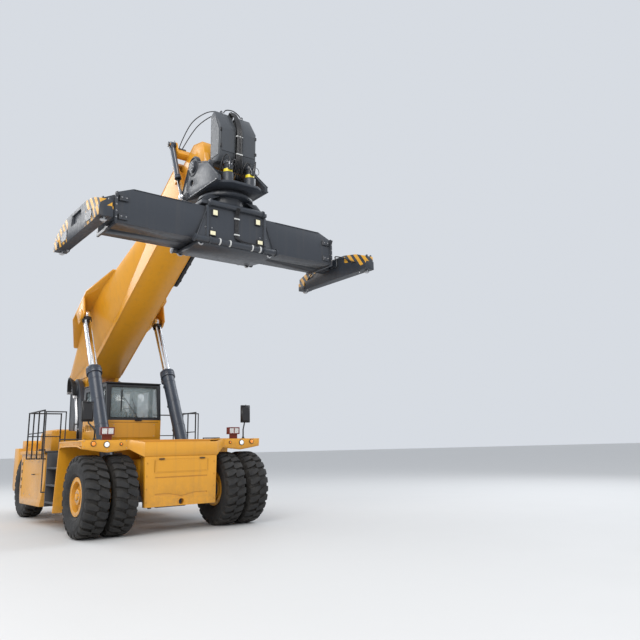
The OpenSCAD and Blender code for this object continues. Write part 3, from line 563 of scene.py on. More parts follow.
for side, s in NAMED_SIDES:
    p = Piece(f"front_tyres_{side}", f"wheel_front_{side}", TR, angle=28)
    tyre(p, 0, TWIN_OUT * s, s)
    tyre(p, 0, TWIN_IN * s, s)
    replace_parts(p.done(), f"tyres_front_{side}")
    p = Piece(f"rear_tyre_{side}", f"wheel_rear_{side}", TR, angle=28)
    tyre(p, -WHEELBASE, REAR_Y * s, s)
    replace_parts(p.done(), f"tyre_rear_{side}")
    # wheel nuts, lock ring, valve and hub cap
    for nm, body, x, yc, hub, cap in (("front", f"wheel_front_{side}", 0, TWIN_OUT, 1991, 150),
                                      ("rear", f"wheel_rear_{side}", -WHEELBASE, REAR_Y, 1491, 130)):
        p = Piece(f"wheel_trim_{nm}_{side}", body, Y, STL, BLK)
        d = Vector((0, s, 0))
        p.ring(M(x, (yc + 178) * s, TYRE_R), d, 0.340, 0.011, 64)
        p.ring(M(x, (yc + 186) * s, TYRE_R), d, 0.372, 0.008, 64)
        for a, b in circle(20, 276, 0.5):
            p.bolt(M(x + a, (yc + 55) * s, TYRE_R + b), d, 0.011, 0.03, 1)
        for a, b in circle(8, cap * 0.68):
            p.bolt(M(x + a, hub * s, TYRE_R + b), d, 0.010, 0.014, 1)
        p.turn(M(x, hub * s, TYRE_R), d, [(0, 0), (0, 0.07), (0.022, 0.066), (0.034, 0.045), (0.036, 0)], 28)
        p.tube([M(x + 215, (yc + 60) * s, 990), M(x + 232, (yc + 130) * s, 1003),
            M(x + 232, (yc + 168) * s, 1003)], 0.007, 8, 2)
        p.done()


# CAD nodes: finishes and softened edges
def dress(mat, *names, bevel=0.005, seg=2, angle=34):
    for nm in names:
        o = nodes[nm]
        if not o.material_slots:
            o.data.materials.append(mat)
        for s_ in o.material_slots:
            s_.link = "OBJECT"
            s_.material = mat
        a = o.data.attributes.get("custom_normal")
        if a:
            o.data.attributes.remove(a)
        w = o.modifiers.new("weld", "WELD")
        w.merge_threshold = 0.00002
        if bevel:
            b = o.modifiers.new("edges", "BEVEL")
            b.width = bevel
            b.segments = seg
            b.limit_method = "ANGLE"
            b.angle_limit = radians(angle)
            b.use_clamp_overlap = True
            b.harden_normals = False
        o.data.shade_smooth()
        o.data.set_sharp_from_angle(angle=radians(angle))


def both(*names):
    return [f"{n}_{side}" for n in names for side in ("left", "right")]


dress(Y, "chassis", "front_apron", "side_boxes", "rear_hood", "counterweight", "outer_boom",
      "boom_side_plates", "boom_collar", "inner_boom", "boom_head", bevel=0.006)
dress(Y, "front_fenders", *both("rim_front", "rim_rear"), bevel=0.003)
dress(N, "tower", "head_yoke", "rotator_frame", "shift_carriage", "main_beam", bevel=0.006)
dress(N, "engine_block", "exhaust", "front_axle", "rear_axle", *both("knuckle"), bevel=0.004)
dress(NG, "head_housing", bevel=0.012)
dress(NB, *both("lift_barrel", "damper_barrel"), bevel=0.003)
dress(PLATE, "platforms", "steps", bevel=0.003)
dress(BLK, "handrails", "mirrors", "cab_console", bevel=0.0)
dress(BLK, "hose_track", bevel=0.003)
dress(SEATM, "cab_seat", bevel=0.02)
dress(CAB, "cab_shell", *both("door"), bevel=0.006)
dress(GLS, "cab_glass", *both("door_glass"), bevel=0.0)
dress(REDP, "work_lamps", bevel=0.003)
dress(CHR, *both("lift_rod", "damper_rod"), bevel=0.0)
dress(GAB, *both("telescope"), bevel=0.006)
dress(STL, *(f"{n}_{end}" for n in both("twistlock") for end in ("front", "rear")), bevel=0.003)

X, YV, Z = Vector((1, 0, 0)), Vector((0, 1, 0)), Vector((0, 0, 1))
SX = 2300.0  # slewing axis
BZ0, BZ1 = 5680.0, 6380.0  # main beam's underside and top
GZ0, GY = 5450.0, 2926.5  # end beam's underside and middle
HD = (1947.04, 7537.45)  # head pin
EYE = (2330, 700)  # lift rod's eye in the boom frame
BOOM_UP = B(0, 0, 1000) - B(0, 0, 0)

# Front: lamps, apron, fenders
p = Piece("front_lamps", "carrier", BLK, AMB, WHT, STL)
for s in SIDES:
    for y, z, r, mi in ((1850, 1835, 0.042, 1), (1580, 1815, 0.050, 2), (1280, 1820, 0.020, 1)):
        rim = r + 0.012
        p.turn(M(360, y * s, z), X, [(0, 0), (0, rim), (0.026, rim), (0.031, r + 0.006), (0.026, r),
            (0.024, 0)], 32)
        p.turn(M(384, y * s, z), X, [(0, 0), (0, r), (0.006, r), (0.014, r * 0.7), (0.017, 0)], 32, mi)
    for y, z in ((1165, 1885), (1165, 1742), (2035, 1885), (2030, 1772), (1560, 1885), (1560, 1706)):
        p.bolt(M(366, y * s, z), X, 0.006, 0.006, 3)
p.done()

p = Piece("apron_trim", "carrier", Y, BLK, STL)
p.box(M, 560, 566, -608, 608, 1218, 1492, 0, 3)
p.box(M, 564, 572, -585, 585, 1240, 1470, 0, 4)
for s in SIDES:
    p.box(M, 560, 590, s * 470 - 55, s * 470 + 55, 1486, 1512, 1, 6)
    p.cyl(M(585, s * 470 - 60, 1500), M(585, s * 470 + 60, 1500), 0.011, 14, 1)
    p.rail([M(470, s * y, z) for y, z in ((700, 560), (700, 520), (640, 520), (640, 560))], 0.016, 10, 1)
    for z in (640, 900, 1160, 1420):
        p.bolt(M(560, s * 775, z), X, 0.012, 0.010)
p.ring(M(560, 0, 620), X, 0.072, 0.010, 36)
p.done()

p = Piece("fender_trim", "carrier", Y, BLK, STL, HOSE)
for s in SIDES:
    # rolled edge along the fender's mouth and round the wheel
    p.rail([M(345, s * y, z) for y, z in ((1104, 1716), (1330, 1690), (1560, 1665),
        (1810, 1700), (2062, 1742))], 0.011)
    p.rail([M(334, s * 2062, 1745), M(60, s * 2066, 1792), M(-400, s * 2066, 1800), M(-1000, s * 2066, 1795),
        M(-1122, s * 2066, 1760), M(-1190, s * 2066, 1300), M(-1318, s * 2066, 430)], 0.014)
    for x in (180, -180, -560, -940):
        p.bolt(M(x, s * 2060, 1840), YV * s, 0.010, 0.012)
    for x, y in ((250, 1260), (250, 1980), (-1050, 1260), (-1050, 1980)):
        p.bolt(M(x, s * y, 1904), Z, 0.012, 0.012, 2)
    # non-slip mat and a raised lid on the deck
    p.box(M, -1000, 80, s * 1250, s * 1950, 1904, 1912, 1, 4)
    p.box(M, -820, -420, s * 1420, s * 1780, 1911, 1930, 0, 8)
p.done()

# Work lamps, mirrors
p = Piece("work_lamp_glass", "carrier", WHT, BLK, STL, HOSE)
for s in SIDES:
    for y in (1435, 1565):
        a, b = sorted((s * (y - 54), s * (y + 54)))
        p.box(M, 166, 178, a, b, 2031, 2149, 0, 8)
        p.box(M, 60, 62, a, b, 2040, 2140, 1, 1)
        for k in range(4):
            yy = a + 22 + k * 21
            p.cyl(M(181, yy, 2030), M(181, yy, 2150), 0.003, 8, 1)
    p.hose([M(60, s * 1500, 2060), M(20, s * 1500, 2020), M(10, s * 1490, 1950), M(20, s * 1480, 1906)],
        0.008, 3, 2)
p.done()
p = Piece("mirror_faces", "carrier", MIR, BLK, STL)
for s in SIDES:
    a, b = sorted((s * 1785, s * 1995))
    p.box(M, -9, 1, a, b, 2300, 2680, 0, 6)
    p.box(M, -5, 64, a - 8, b + 8, 2284, 2302, 1, 6)
    p.box(M, -5, 64, a - 8, b + 8, 2678, 2696, 1, 6)
    p.box(M, 58, 68, a + 20, b - 20, 2330, 2650, 1, 5)
    p.bolt(M(40, s * 1900, 2700), Z, 0.012, 0.016, 2)
    p.turn(M(150, s * 1760, 1905), Z, [(0, 0), (0, 0.045), (0.010, 0.045), (0.013, 0.03), (0.05, 0.022)],
        20, 1)
p.done()

# Cab
p = Piece("cab_trim", "carrier", BLK, STL, HOSE, Y, AMB)
def bead(f, pts, r=0.012):
    'closed seal round a window'
    q = [f(*t) for t in pts]
    p.rail(q + [q[0]], r)
bead(lambda y, z: M(-2150 - (z - 2440) * 0.0915 + 2, y, z),
    [(-620, 2492), (620, 2492), (600, 3268), (-600, 3268)], 0.014)
bead(lambda y, z: M(-3902, y, z), [(-560, 2500), (560, 2500), (560, 3250), (-560, 3250)])
for s in SIDES:
    bead(lambda x, z: M(x, s * 701, z), [(-2700, 2430), (-2270, 2430), (-2330, 3260), (-2700, 3260)], 0.010)
# roof cap, gutter and guard bars over the roof window
p.box(M, -3925, -2235, -722, 722, 3352, 3374, 0, 9)
p.box(M, -2300, -2215, -700, 700, 3335, 3368, 0, 10)
for y in (-360, -120, 120, 360):
    p.rail([M(-3640, y, 3372), M(-3620, y, 3405), M(-2730, y, 3405), M(-2710, y, 3372)], 0.009)
# wipers
for y0, y1, z1 in ((120, -330, 3060), (60, -60, 2960)):
    a, b = M(-2150, y0, 2455), M(-2195, y1, z1)
    p.tube([a, a.lerp(b, 0.55) + Vector((0.035, 0, 0)), b + Vector((0.022, 0, 0))], 0.007, 8)
    p.cyl(a - X * 0.02, a + X * 0.045, 0.022, 16)
p.box(M, -2206, -2190, -345, -318, 2620, 3210, 0, 4)
p.box(M, -2150, -2120, 10, 190, 2415, 2452, 0, 8)
# front panel seam and panel
p.box(M, -2151, -2147, -640, 640, 2380, 2388, 0, 1)
p.box(M, -2150, -2142, -560, 560, 2010, 2350, 3, 4)
for s in SIDES:
    p.bolt(M(-2142, s * 520, 2040), X, 0.008, 0.008, 1)
    p.bolt(M(-2142, s * 520, 2320), X, 0.008, 0.008, 1)
# rubber mounts under the cab
for x in (-3710, -2430):
    for y in (-420, 420):
        p.turn(M(x, y, 1935), -Z, [(0, 0), (0, 0.07), (0.03, 0.075), (0.06, 0.06), (0.10, 0.06)], 24)
# beacon on the roof
p.turn(M(-3700, 520, 3374), Z, [(0, 0), (0, 0.06), (0.03, 0.055), (0.032, 0.045), (0.14, 0.040),
    (0.155, 0.02), (0.157, 0)], 28, 4)
p.done()
for side, s in NAMED_SIDES:
    p = Piece(f"door_trim_{side}", f"cab_door_{side}", BLK, STL)
    pts = [M(x, s * 701, z) for x, z in ((-3720, 2560), (-2860, 2450), (-2860, 3220), (-3720, 3220))]
    p.rail(pts + [pts[0]], 0.011)
    for k in range(7):
        x = -3650 + k * 112
        top = 2354 - 6 * k
        p.plate(M, [(x, 2216), (x + 18, 2216), (x + 18, top), (x, top + 6)], s * 686, s * 697)
    for z in (2290, 2990):
        p.bolt(M(-3768, s * 712, z), YV * s, 0.007, 0.006, 1)
    p.box(M, -2868, -2812, s * 699, s * 708, 2360, 2550, 0, 4)
    p.done()

# Tower and its hoses
p = Piece("tower_trim", "carrier", N, STL, HOSE, BLK, RST)
for s in SIDES:
    d = YV * s
    p.turn(M(PIV[0], s * 690, PIV[1]), d, [(-0.03, 0), (-0.03, 0.135), (0.004, 0.135),
        (0.010, 0.128), (0.012, 0)], 36)
    for a, b in circle(8, 108):
        p.bolt(M(PIV[0] + a, s * 701, PIV[1] + b), d, 0.010, 0.012, 1)
    # edge stiffener and foot bolts
    p.rail([M(x, s * 612, z) for x, z in ((-3968, 1745), (-4088, 2150), (-4408, 2990), (-4566, 3405),
        (-4706, 3606))], 0.022, 10)
    p.rail([M(x, s * 612, z) for x, z in ((-5192, 1745), (-5292, 2500), (-5318, 3300), (-5118, 3606))],
        0.022, 10)
    p.box(M, -5190, -3970, s * 620, s * 655, 1730, 1752, 0, 5)
    for x in (-5130, -4850, -4560, -4280, -4020):
        p.bolt(M(x, s * 638, 1751), Z, 0.014, 0.018, 1)
    # pipes climbing the tower's outer side, with a clamp
    for k in range(4):
        x = -4700 + k * 46
        p.tube([M(x, s * 640, 1760), M(x, s * 640, 2500), M(x - 90, s * 640, 2900),
            M(x - 190, s * 648, 3220)], 0.013, 8, 1)
    for z in (2000, 2420):
        p.box(M, -4722, -4540, s * 622, s * 660, z, z + 34, 3, 5)
# hose loops at the tower's top by the boom's tail, right side
for k in range(5):
    y = 600 + k * 32
    p.hose([M(-4760 + k * 14, -y, 3150), M(-4780, -y - 40, 3480 + k * 16), M(-4960, -y - 60, 3640 + k * 22),
        M(-5180, -y - 30, 3560 + k * 18), M(-5270, -y, 3300)], 0.019, 2, 1)
p.done()

# Hood, counterweight, boxes
p = Piece("hood_trim", "carrier", Y, BLK, STL, N, REDL, AMB, WHT)
for s in SIDES:
    d = YV * s
    for x in (-6900, -6420, -5940, -5460):
        p.box(M, x - 4, x + 4, s * 899, s * 903, 1660, 2170, 1, 1)
    for x in (-6640, -6180, -5700):
        p.box(M, x - 30, x + 30, s * 900, s * 914, 1700, 1728, 1, 5)
        p.cyl(M(x - 60, s * 906, 2196), M(x + 60, s * 906, 2196), 0.012, 12, 1)
    p.rail([M(-5600, s * y, z) for y, z in ((902, 2010), (945, 2010), (945, 2130), (902, 2130))],
        0.010, 10, 1)
    for k in range(8):
        z = 1835 + k * 42
        p.box(M, -5262, -4580, s * 1262, s * 1285, z, z + 10, 3, 3)
    for x in (-5320, -4920, -4525):
        for z in (1770, 2220):
            p.bolt(M(x, s * 1300, z), d, 0.008, 0.008, 2)
    p.box(M, -5300, -4540, s * 700, s * 1260, 2249, 2256, 0, 3)
for x in (-6850, -6350, -5850):
    for y in (-640, 640):
        p.bolt(M(x, y, 2329), Z, 0.010, 0.010, 2)
# rear face of the counterweight
for s in SIDES:
    for y, mi in ((1150, 4), (850, 5)):
        p.turn(M(-7572, s * y, 1500), -X, [(0, 0), (0, 0.104), (0.020, 0.104), (0.026, 0.092), (0.028, 0)],
            32, mi)
        p.ring(M(-7600, s * y, 1500), -X, 0.113, 0.008, 36, 8, 1)
    p.box(M, -7606, -7598, s * 1260, s * 1420, 1180, 1260, 4, 3)
    p.ring(M(-7380, s * 700, 2085), YV, 0.065, 0.018, 28, 10)
    p.box(M, -7460, -7300, s * 640, s * 760, 2058, 2066, 0, 3)
p.box(M, -7606, -7598, -520, 520, 1620, 1790, 0, 4)
for k in range(6):
    p.box(M, -7609, -7603, -470, 470, 1640 + k * 24, 1652 + k * 24, 1, 2)
p.ring(M(-7500, 0, 821), Z, 0.040, 0.009, 28)
p.done()

# Exhaust: heat shield with holes, clamps and rusty mouth
p = Piece("exhaust_trim", "carrier", STL, RST, BLK)
p.turn(M(-6700, 640, 2420), Z, sleeve(0.078, 0.105, 0.50), 32)
for z in (2470, 2700, 2870):
    p.ring(M(-6700, 640, z), Z, 0.106, 0.008, 32, 8, 2)
for k in range(5):
    for a, b in circle(12, 1, 0.5 * (k % 2)):
        d = Vector((a, b, 0))
        p.turn(M(-6700, 640, 2520 + k * 80) + d * 0.1045, d,
            [(0, 0), (0, 0.012), (0.002, 0.010), (0.002, 0)], 10, 2)
d = (M(-6810, 640, 3220) - M(-6700, 640, 3120)).normalized()
p.turn(M(-6810, 640, 3220) - d * 0.05, d, [(0, 0.056), (0, 0.062), (0.06, 0.062), (0.06, 0.048),
    (0.01, 0.046), (0.01, 0)], 28, 1)
p.done()

p = Piece("box_trim", "carrier", Y, BLK, STL, PLATE)
for s in SIDES:
    d = YV * s
    for x in (-4500, -3900, -3300):
        for z in (1480,) if x > -3400 else (700, 1480):
            p.bolt(M(x, s * 1890, z), d, 0.010, 0.010, 2)
    # footholds: thin black plates for their dark recesses, as painted shade
    for k in range(4):
        p.box(M, -4800, -4720, s * 1899, s * 1905, 820 + k * 190, 900 + k * 190, 1, 3)
    p.turn(M(-4560, s * 1500, 1730), Z, [(0, 0), (0, 0.085), (0.05, 0.085), (0.058, 0.078), (0.06, 0)], 30, 1)
    p.rail([M(x, s * y, 1180) for x, y in ((-3700, 1892), (-3700, 1935), (-3560, 1935), (-3560, 1892))],
        0.010, 10, 1)
    p.box(M, -4870, -2650, s * 1936, s * 1956, 1664, 1736, 0, 6)
    for z in (560, 940, 1320):
        p.box(M, -2556, -1424, s * 1888, s * 1906, z + 2, z + 44, 3, 5)
        for k in range(9):
            p.box(M, -2500 + k * 120, -2440 + k * 120, s * 1600, s * 1860, z + 34, z + 40, 3, 2)
p.done()

# Under the machine: hubs, drive shaft, steering rods
p = Piece("axle_trim", "carrier", N, STL, HOSE, BLK)
p.cyl(M(-480, 0, 807), M(-2700, 0, 1180), 0.055, 20)
p.turn(M(-480, 0, 807), Vector((-1, 0, 0.168)), [(0, 0), (0, 0.12), (0.05, 0.12), (0.09, 0.08)], 24)
p.box(M, -3300, -2700, -250, 250, 1010, 1420, 0, 30)
for a, b in circle(12, 200):
    p.bolt(M(330, a, TYRE_R + b) - X * 0.06, X, 0.014, 0.02, 1)
p.turn(M(255, 0, TYRE_R), X, [(0, 0), (0, 0.25), (0.03, 0.25), (0.09, 0.16), (0.13, 0.06), (0.135, 0)], 36)
for s in SIDES:
    for a, b in circle(10, 215):
        p.bolt(M(a, s * 960, TYRE_R + b), -YV * s, 0.013, 0.02, 1)
    p.hose([M(-30, s * 500, 1010), M(-200, s * 560, 1060), M(-330, s * 520, 1240), M(-360, s * 434, 1400)],
        0.012, 2, 1)
    p.cyl(M(-WHEELBASE, s * 400, 560), M(-WHEELBASE, s * 640, 600), 0.038, 18, 1)
p.done()

# Boom
p = Piece("boom_trim", "boom_outer", Y, STL, BLK, HOSE, N)
# raised seams along the box's edges and collar bolts
for s in SIDES:
    for zz in (52, 998):
        p.rail([B(700 if zz < 100 else -900, s * 458, zz), B(7200, s * 458, zz)], 0.011)
    for k in range(9):
        p.bolt(B(7280, s * 505, 60 + k * 110), YV * s, 0.012, 0.012)
    # pad carriers on the collar with their adjusting screws
    for zz in (520, 840):
        p.box(B, 7236, 7326, s * 503, s * 540, zz - 70, zz + 70, 0, 6)
        for q in (-35, 35):
            p.bolt(B(7281, s * 540, zz + q), YV * s, 0.013, 0.02, 1)
    # pin boss on the rod eye's cheek
    p.turn(B(EYE[0], s * 1130, EYE[1]), YV * s, [(0, 0), (0, 0.105), (0.016, 0.105),
        (0.020, 0.098), (0.022, 0)], 36)
    for a, b in circle(6, 78):
        p.bolt(B(EYE[0] + a, s * 1151, EYE[1] + b), YV * s, 0.010, 0.010, 1)
    # folded lip round the side plate over the lift cylinder
    p.rail([B(620, s * 742, 1030), B(1752, s * 1102, 1030), B(2898, s * 1102, 1030), B(3790, s * 706, 1030)],
        0.014)
    # pipes clipped along the lower side of the box
    for k in range(3):
        p.rail([B(900, s * 470, 300 + k * 42), B(1300, s * 474, 300 + k * 42)], 0.011, 8, 1)
for k in range(6):
    yy = -375 + k * 150
    p.bolt(B(7280, yy, 1040), BOOM_UP, 0.013, 0.014)
for yy in (-300, 300):
    p.box(B, 7236, 7326, yy - 80, yy + 80, 1038, 1075, 0, 6)
    for q in (-40, 40):
        p.bolt(B(7281, yy + q, 1075), BOOM_UP, 0.013, 0.02, 1)
# lamp under the far end, clear of a spreader turned lengthwise
p.box(B, 6300, 6420, 330, 440, -50, 52, 4, 8)
p.done()

p = Piece("boom_hoses", "boom_outer", HOSE, STL, WCL, BLK)
for k in range(5):
    y = 476 + k * 26
    p.hose([B(3300, 468, 330 + k * 26), B(3800, y, 300 + k * 20), B(4300, y + 8, 200 + k * 8),
        B(4560, y + 14, 150)], 0.012, 0, 1)
for k in range(3):
    p.tube([B(6880, 500 + k * 40, 130), B(7020, 505 + k * 36, 20), B(6960, 510 + k * 30, -90),
        B(6760, 510 + k * 30, -110), B(6650, 505 + k * 30, 0), B(6700, 500 + k * 30, 62)], 0.022, 10)
p.done()

p = Piece("nose_trim", "boom_inner", Y, STL, N, BLK)
for s in SIDES:
    for k in range(5):
        p.bolt(B(7572 + k * 24, s * 560, 1060), BOOM_UP, 0.009, 0.01, 1)
    c = B(7675, s * 758, 1190)
    p.turn(c, YV * s, [(0, 0), (0, 0.062), (0.010, 0.062), (0.014, 0.055), (0.015, 0)], 28, 2)
    p.bolt(c + YV * s * 0.014, YV * s, 0.014, 0.014, 1)
    p.rail([B(7380, s * 340, 905), B(7990, s * 340, 905), B(8292, s * 340, 636), B(8292, s * 340, 482)],
        0.011)
    # cast block on top of the bracket
    p.box(B, 7585, 7765, s * 628, s * 634, 1100, 1275, 2, 2)
    p.box(B, 7530, 7710, s * 360, s * 590, 1058, 1120, 2, 14)
p.done()

# Lift cylinders and dampers
def cylinder_frame(x0, y0, z0, slope):
    "frame with x along a cylinder from its lower or upper pin, and y to the left"
    c, n = cos(radians(slope)), sin(radians(slope))
    return lambda x, y, z: M(x0 + c * x - n * z, y0 + y, z0 + n * x + c * z)


for side, s in NAMED_SIDES:
    f = cylinder_frame(-1000, s * 977, 1000, 118.31858)
    ax = f(1, 0, 0) - f(0, 0, 0)
    p = Piece(f"lift_cylinder_trim_{side}", f"lift_barrel_{side[0]}", NB, STL, HOSE, BLK)
    p.turn(f(3080, 0, 0), ax, [(0, 0.103), (0, 0.150), (0.018, 0.150), (0.022, 0.142), (0.022, 0.103)], 40, 3)
    for a, b in circle(12, 124):
        p.bolt(f(3100, a, b), ax, 0.011, 0.014, 1)
    for q in (0, 60, 120):
        p.ring(f(2905 + q, 0, 0), ax, 0.184, 0.006, 44)
    # feed pipe with clamps, a port block and the hoses at the foot
    sg = -s
    p.tube([f(360, sg * 60, 150), f(420, sg * 62, 182), f(2780, sg * 62, 182), f(2850, sg * 58, 190)],
        0.014, 10, 1)
    for q in (700, 1400, 2100, 2700):
        p.box(f, q, q + 60, sg * 62 - 28, sg * 62 + 28, 138, 204, 3, 5)
        p.ring(f(q + 30, 0, 0), ax, 0.157, 0.005, 40, 6)
    p.box(f, 2840, 2960, sg * 60 - 40, sg * 60 + 40, 160, 236, 0, 10)
    p.box(f, 260, 400, sg * 60 - 45, sg * 60 + 45, 130, 206, 0, 10)
    for k in range(2):
        p.hose([f(300 + k * 55, sg * 60, 206), f(270 + k * 50, sg * 66, 262), f(170, sg * 90, 258 - k * 34),
            f(70, sg * 118, 196 - k * 34)], 0.014, 2, 1)
    p.done()
    p = Piece(f"lift_rod_trim_{side}", f"lift_rod_{side[0]}", NB, STL, BLK)
    p.turn(f(4560, 0, 0), ax, [(0, 0.101), (0, 0.118), (0.09, 0.125), (0.11, 0.101)], 40, 2)
    for q in (1, -1):
        p.turn(f(4771.07, 78 * q, 0), YV * q, [(0, 0), (0, 0.125), (0.004, 0.125), (0.006, 0.118),
            (0.006, 0.07), (0.010, 0.066), (0.010, 0)], 36, 1)
    p.done()
    f = cylinder_frame(1065.864, s * 680, 8372.946, -68.64816947)
    ax = f(1, 0, 0) - f(0, 0, 0)
    p = Piece(f"damper_trim_{side}", f"damper_barrel_{side[0]}", NB, STL, HOSE, BLK)
    p.turn(f(1010, 0, 0), ax, [(0, 0.037), (0, 0.060), (0.012, 0.060), (0.016, 0.054), (0.016, 0.037)], 28, 3)
    for q in (80, 930):
        p.ring(f(q, 0, 0), ax, 0.064, 0.005, 28)
    p.tube([f(110, s * 30, 62), f(160, s * 30, 82), f(880, s * 30, 82), f(930, s * 30, 66)], 0.009, 8, 1)
    p.box(f, 60, 140, s * 30 - 24, s * 30 + 24, 50, 92, 0, 6)
    p.done()

# Head
p = Piece("head_trim", "head", N, STL, YB, NG, BLK, WCL)
for s in SIDES:
    d = YV * s
    c = M(HD[0], s * 610, HD[1])
    p.turn(c, d, [(0, 0), (0, 0.122), (0.012, 0.122), (0.016, 0.114), (0.016, 0.060),
        (0.022, 0.055), (0.024, 0)], 40)
    for a, b in circle(8, 0.092, 0.5):
        p.bolt(c + Vector((a, s * 0.014, b)), d, 0.011, 0.012, 1)
    p.ring(c - d * 0.028, d, 0.200, 0.016, 48)
    # flange along the plate's foot and its bolts
    p.box(M, 1400, 3030, s * 578, s * 610, 6862, 6888, 0, 5)
    for k in range(8):
        p.bolt(M(1460 + k * 215, s * 596, 6887), Z, 0.013, 0.016, 1)
    p.rail([M(x, s * 582, z) for x, z in ((1385, 6968), (1710, 7560))], 0.013)
    p.rail([M(x, s * 582, z) for x, z in ((2182, 7560), (2566, 7422), (3034, 6968))], 0.013)
    # slewing motors: yellow bands, ribs, bolts, port blocks
    c = M(2860, s * 260, 6900)
    p.ring(c + Z * 0.225, Z, 0.110, 0.012, 36)
    p.turn(c + Z * 0.235, Z, sleeve(0.084, 0.093, 0.075), 32, 2)
    for k in range(4):
        p.ring(c + Z * (0.345 + k * 0.024), Z, 0.087, 0.006, 32, 6)
    for a, b in circle(6, 0.103):
        p.bolt(c + Vector((a, b, 0.22)), Z, 0.010, 0.014, 1)
    p.box(M, 2890, 2990, s * 215, s * 305, 7180, 7290, 0, 10)
    # housing: pressed panel, hinges, lifting eye
    p.plate(M, [(2836, 8120), (2842, 8120), (2822, 7640), (2816, 7640)], s * 100, s * 395, 3)
    p.box(M, 2400, 2418, s * 120, s * 380, 7560, 8480, 3, 6)
    for z in (7700, 8060):
        p.box(M, 2826, 2846, s * 400, s * 436, z, z + 70, 4, 4)
    p.ring(M(2520, s * 250, 8640), YV, 0.045, 0.012, 24)
    for z in (7600, 7900, 8200, 8440):
        p.bolt(M(2500, s * 430, z), d, 0.009, 0.009, 1)
        p.bolt(M(2700, s * 430, min(z, 8200)), d, 0.009, 0.009, 1)
    p.plate(M, [(2470, 7560), (2760, 7560), (2790, 8100), (2620, 8480), (2470, 8480)], s * 429, s * 437, 3)
# slewing ring's teeth guard and bolts
for a, b in circle(36, 395):
    p.bolt(M(SX + a, b, 6900), Z, 0.011, 0.014, 1)
p.turn(M(SX, 0, 6796), Z, sleeve(0.422, 0.446, 0.05), 72)
p.box(M, 2100, 2420, -260, 260, 6898, 7010, 0, 16)
for k in range(5):
    p.cyl(M(2420, -200 + k * 100, 6960), M(2470, -200 + k * 100, 6960), 0.022, 14, 1)
p.done()

p = Piece("head_hoses", "head", HOSE, STL, WCL)
for k in range(6):
    y = -50 + k * 20
    w = 6 * ((k * 5) % 3)
    p.hose([M(2440, y, 8380), M(2470 + w, y, 8600), M(2570, y, 8690 + w), M(2760, y, 8460), M(2870, y, 8160),
        M(2868 + w, y, 7760), M(2850, y * 1.4, 7480), M(2700, y * 2.6, 7180),
        M(2560, y * 3.0, 7010)], 0.013, 0, 1)
for s in SIDES:
    p.hose([M(2960, s * 290, 7290), M(2985, s * 300, 7420), M(2960, s * 340, 7500), M(2880, s * 380, 7440),
        M(2800, s * 400, 7250), M(2700, s * 380, 7080), M(2600, s * 330, 6960)], 0.012, 0, 1)
    p.hose([M(2930, s * 240, 7290), M(2960, s * 200, 7400), M(2930, s * 140, 7440), M(2860, s * 90, 7300),
        M(2700, s * 110, 7120), M(2500, s * 160, 7012)], 0.012, 0, 1)
    p.ring(M(3010, s * 330, 7270), Vector((1, 0.3 * s, 0)), 0.075, 0.006, 28, 6)
for z in (8000, 7600):
    p.box(M, 2850, 2892, -74, 74, z, z + 26, 2, 4)
p.hose([M(2560, -230, 8600), M(2560, -150, 8720), M(2550, 30, 8760), M(2540, 180, 8700), M(2540, 250, 8600)],
    0.012, 0, 1)
p.done()


def hang(name, paths, r, a):
    """hoses that hang between two bodies, baked in place without riding on either"""
    q = Piece(name, a, HOSE, STL)
    for pts in paths:
        q.hose(pts, r, 0, 1)
    o = q.done(ride=False)
    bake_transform(o)


hang("head_loops", [
    [B(7700, 150 + k * 55, 920), B(7790, 220 + k * 60, 1150), M(1560 + k * 10, 420 + k * 70, 8780 - k * 22),
        M(2050, 520 + k * 60, 8820 - k * 40), M(2330, 430 + k * 30, 8700 - k * 50),
        M(2420, 300 + k * 12, 8400 - k * 90)]
    for k in range(4)], 0.022, "boom_inner")
hang("head_arcs", [
    [B(7640, -480, 1120), B(7700, -470, 1260), M(1500, -430, 8790), M(2000, -340, 8850),
        M(2360, -240, 8740), M(2440, -200, 8560)],
    [B(7600, -420, 1120), B(7660, -400, 1220), M(1560, -330, 8700), M(2050, -230, 8780),
        M(2350, -160, 8690), M(2440, -140, 8520)]],
    0.011, "boom_inner")

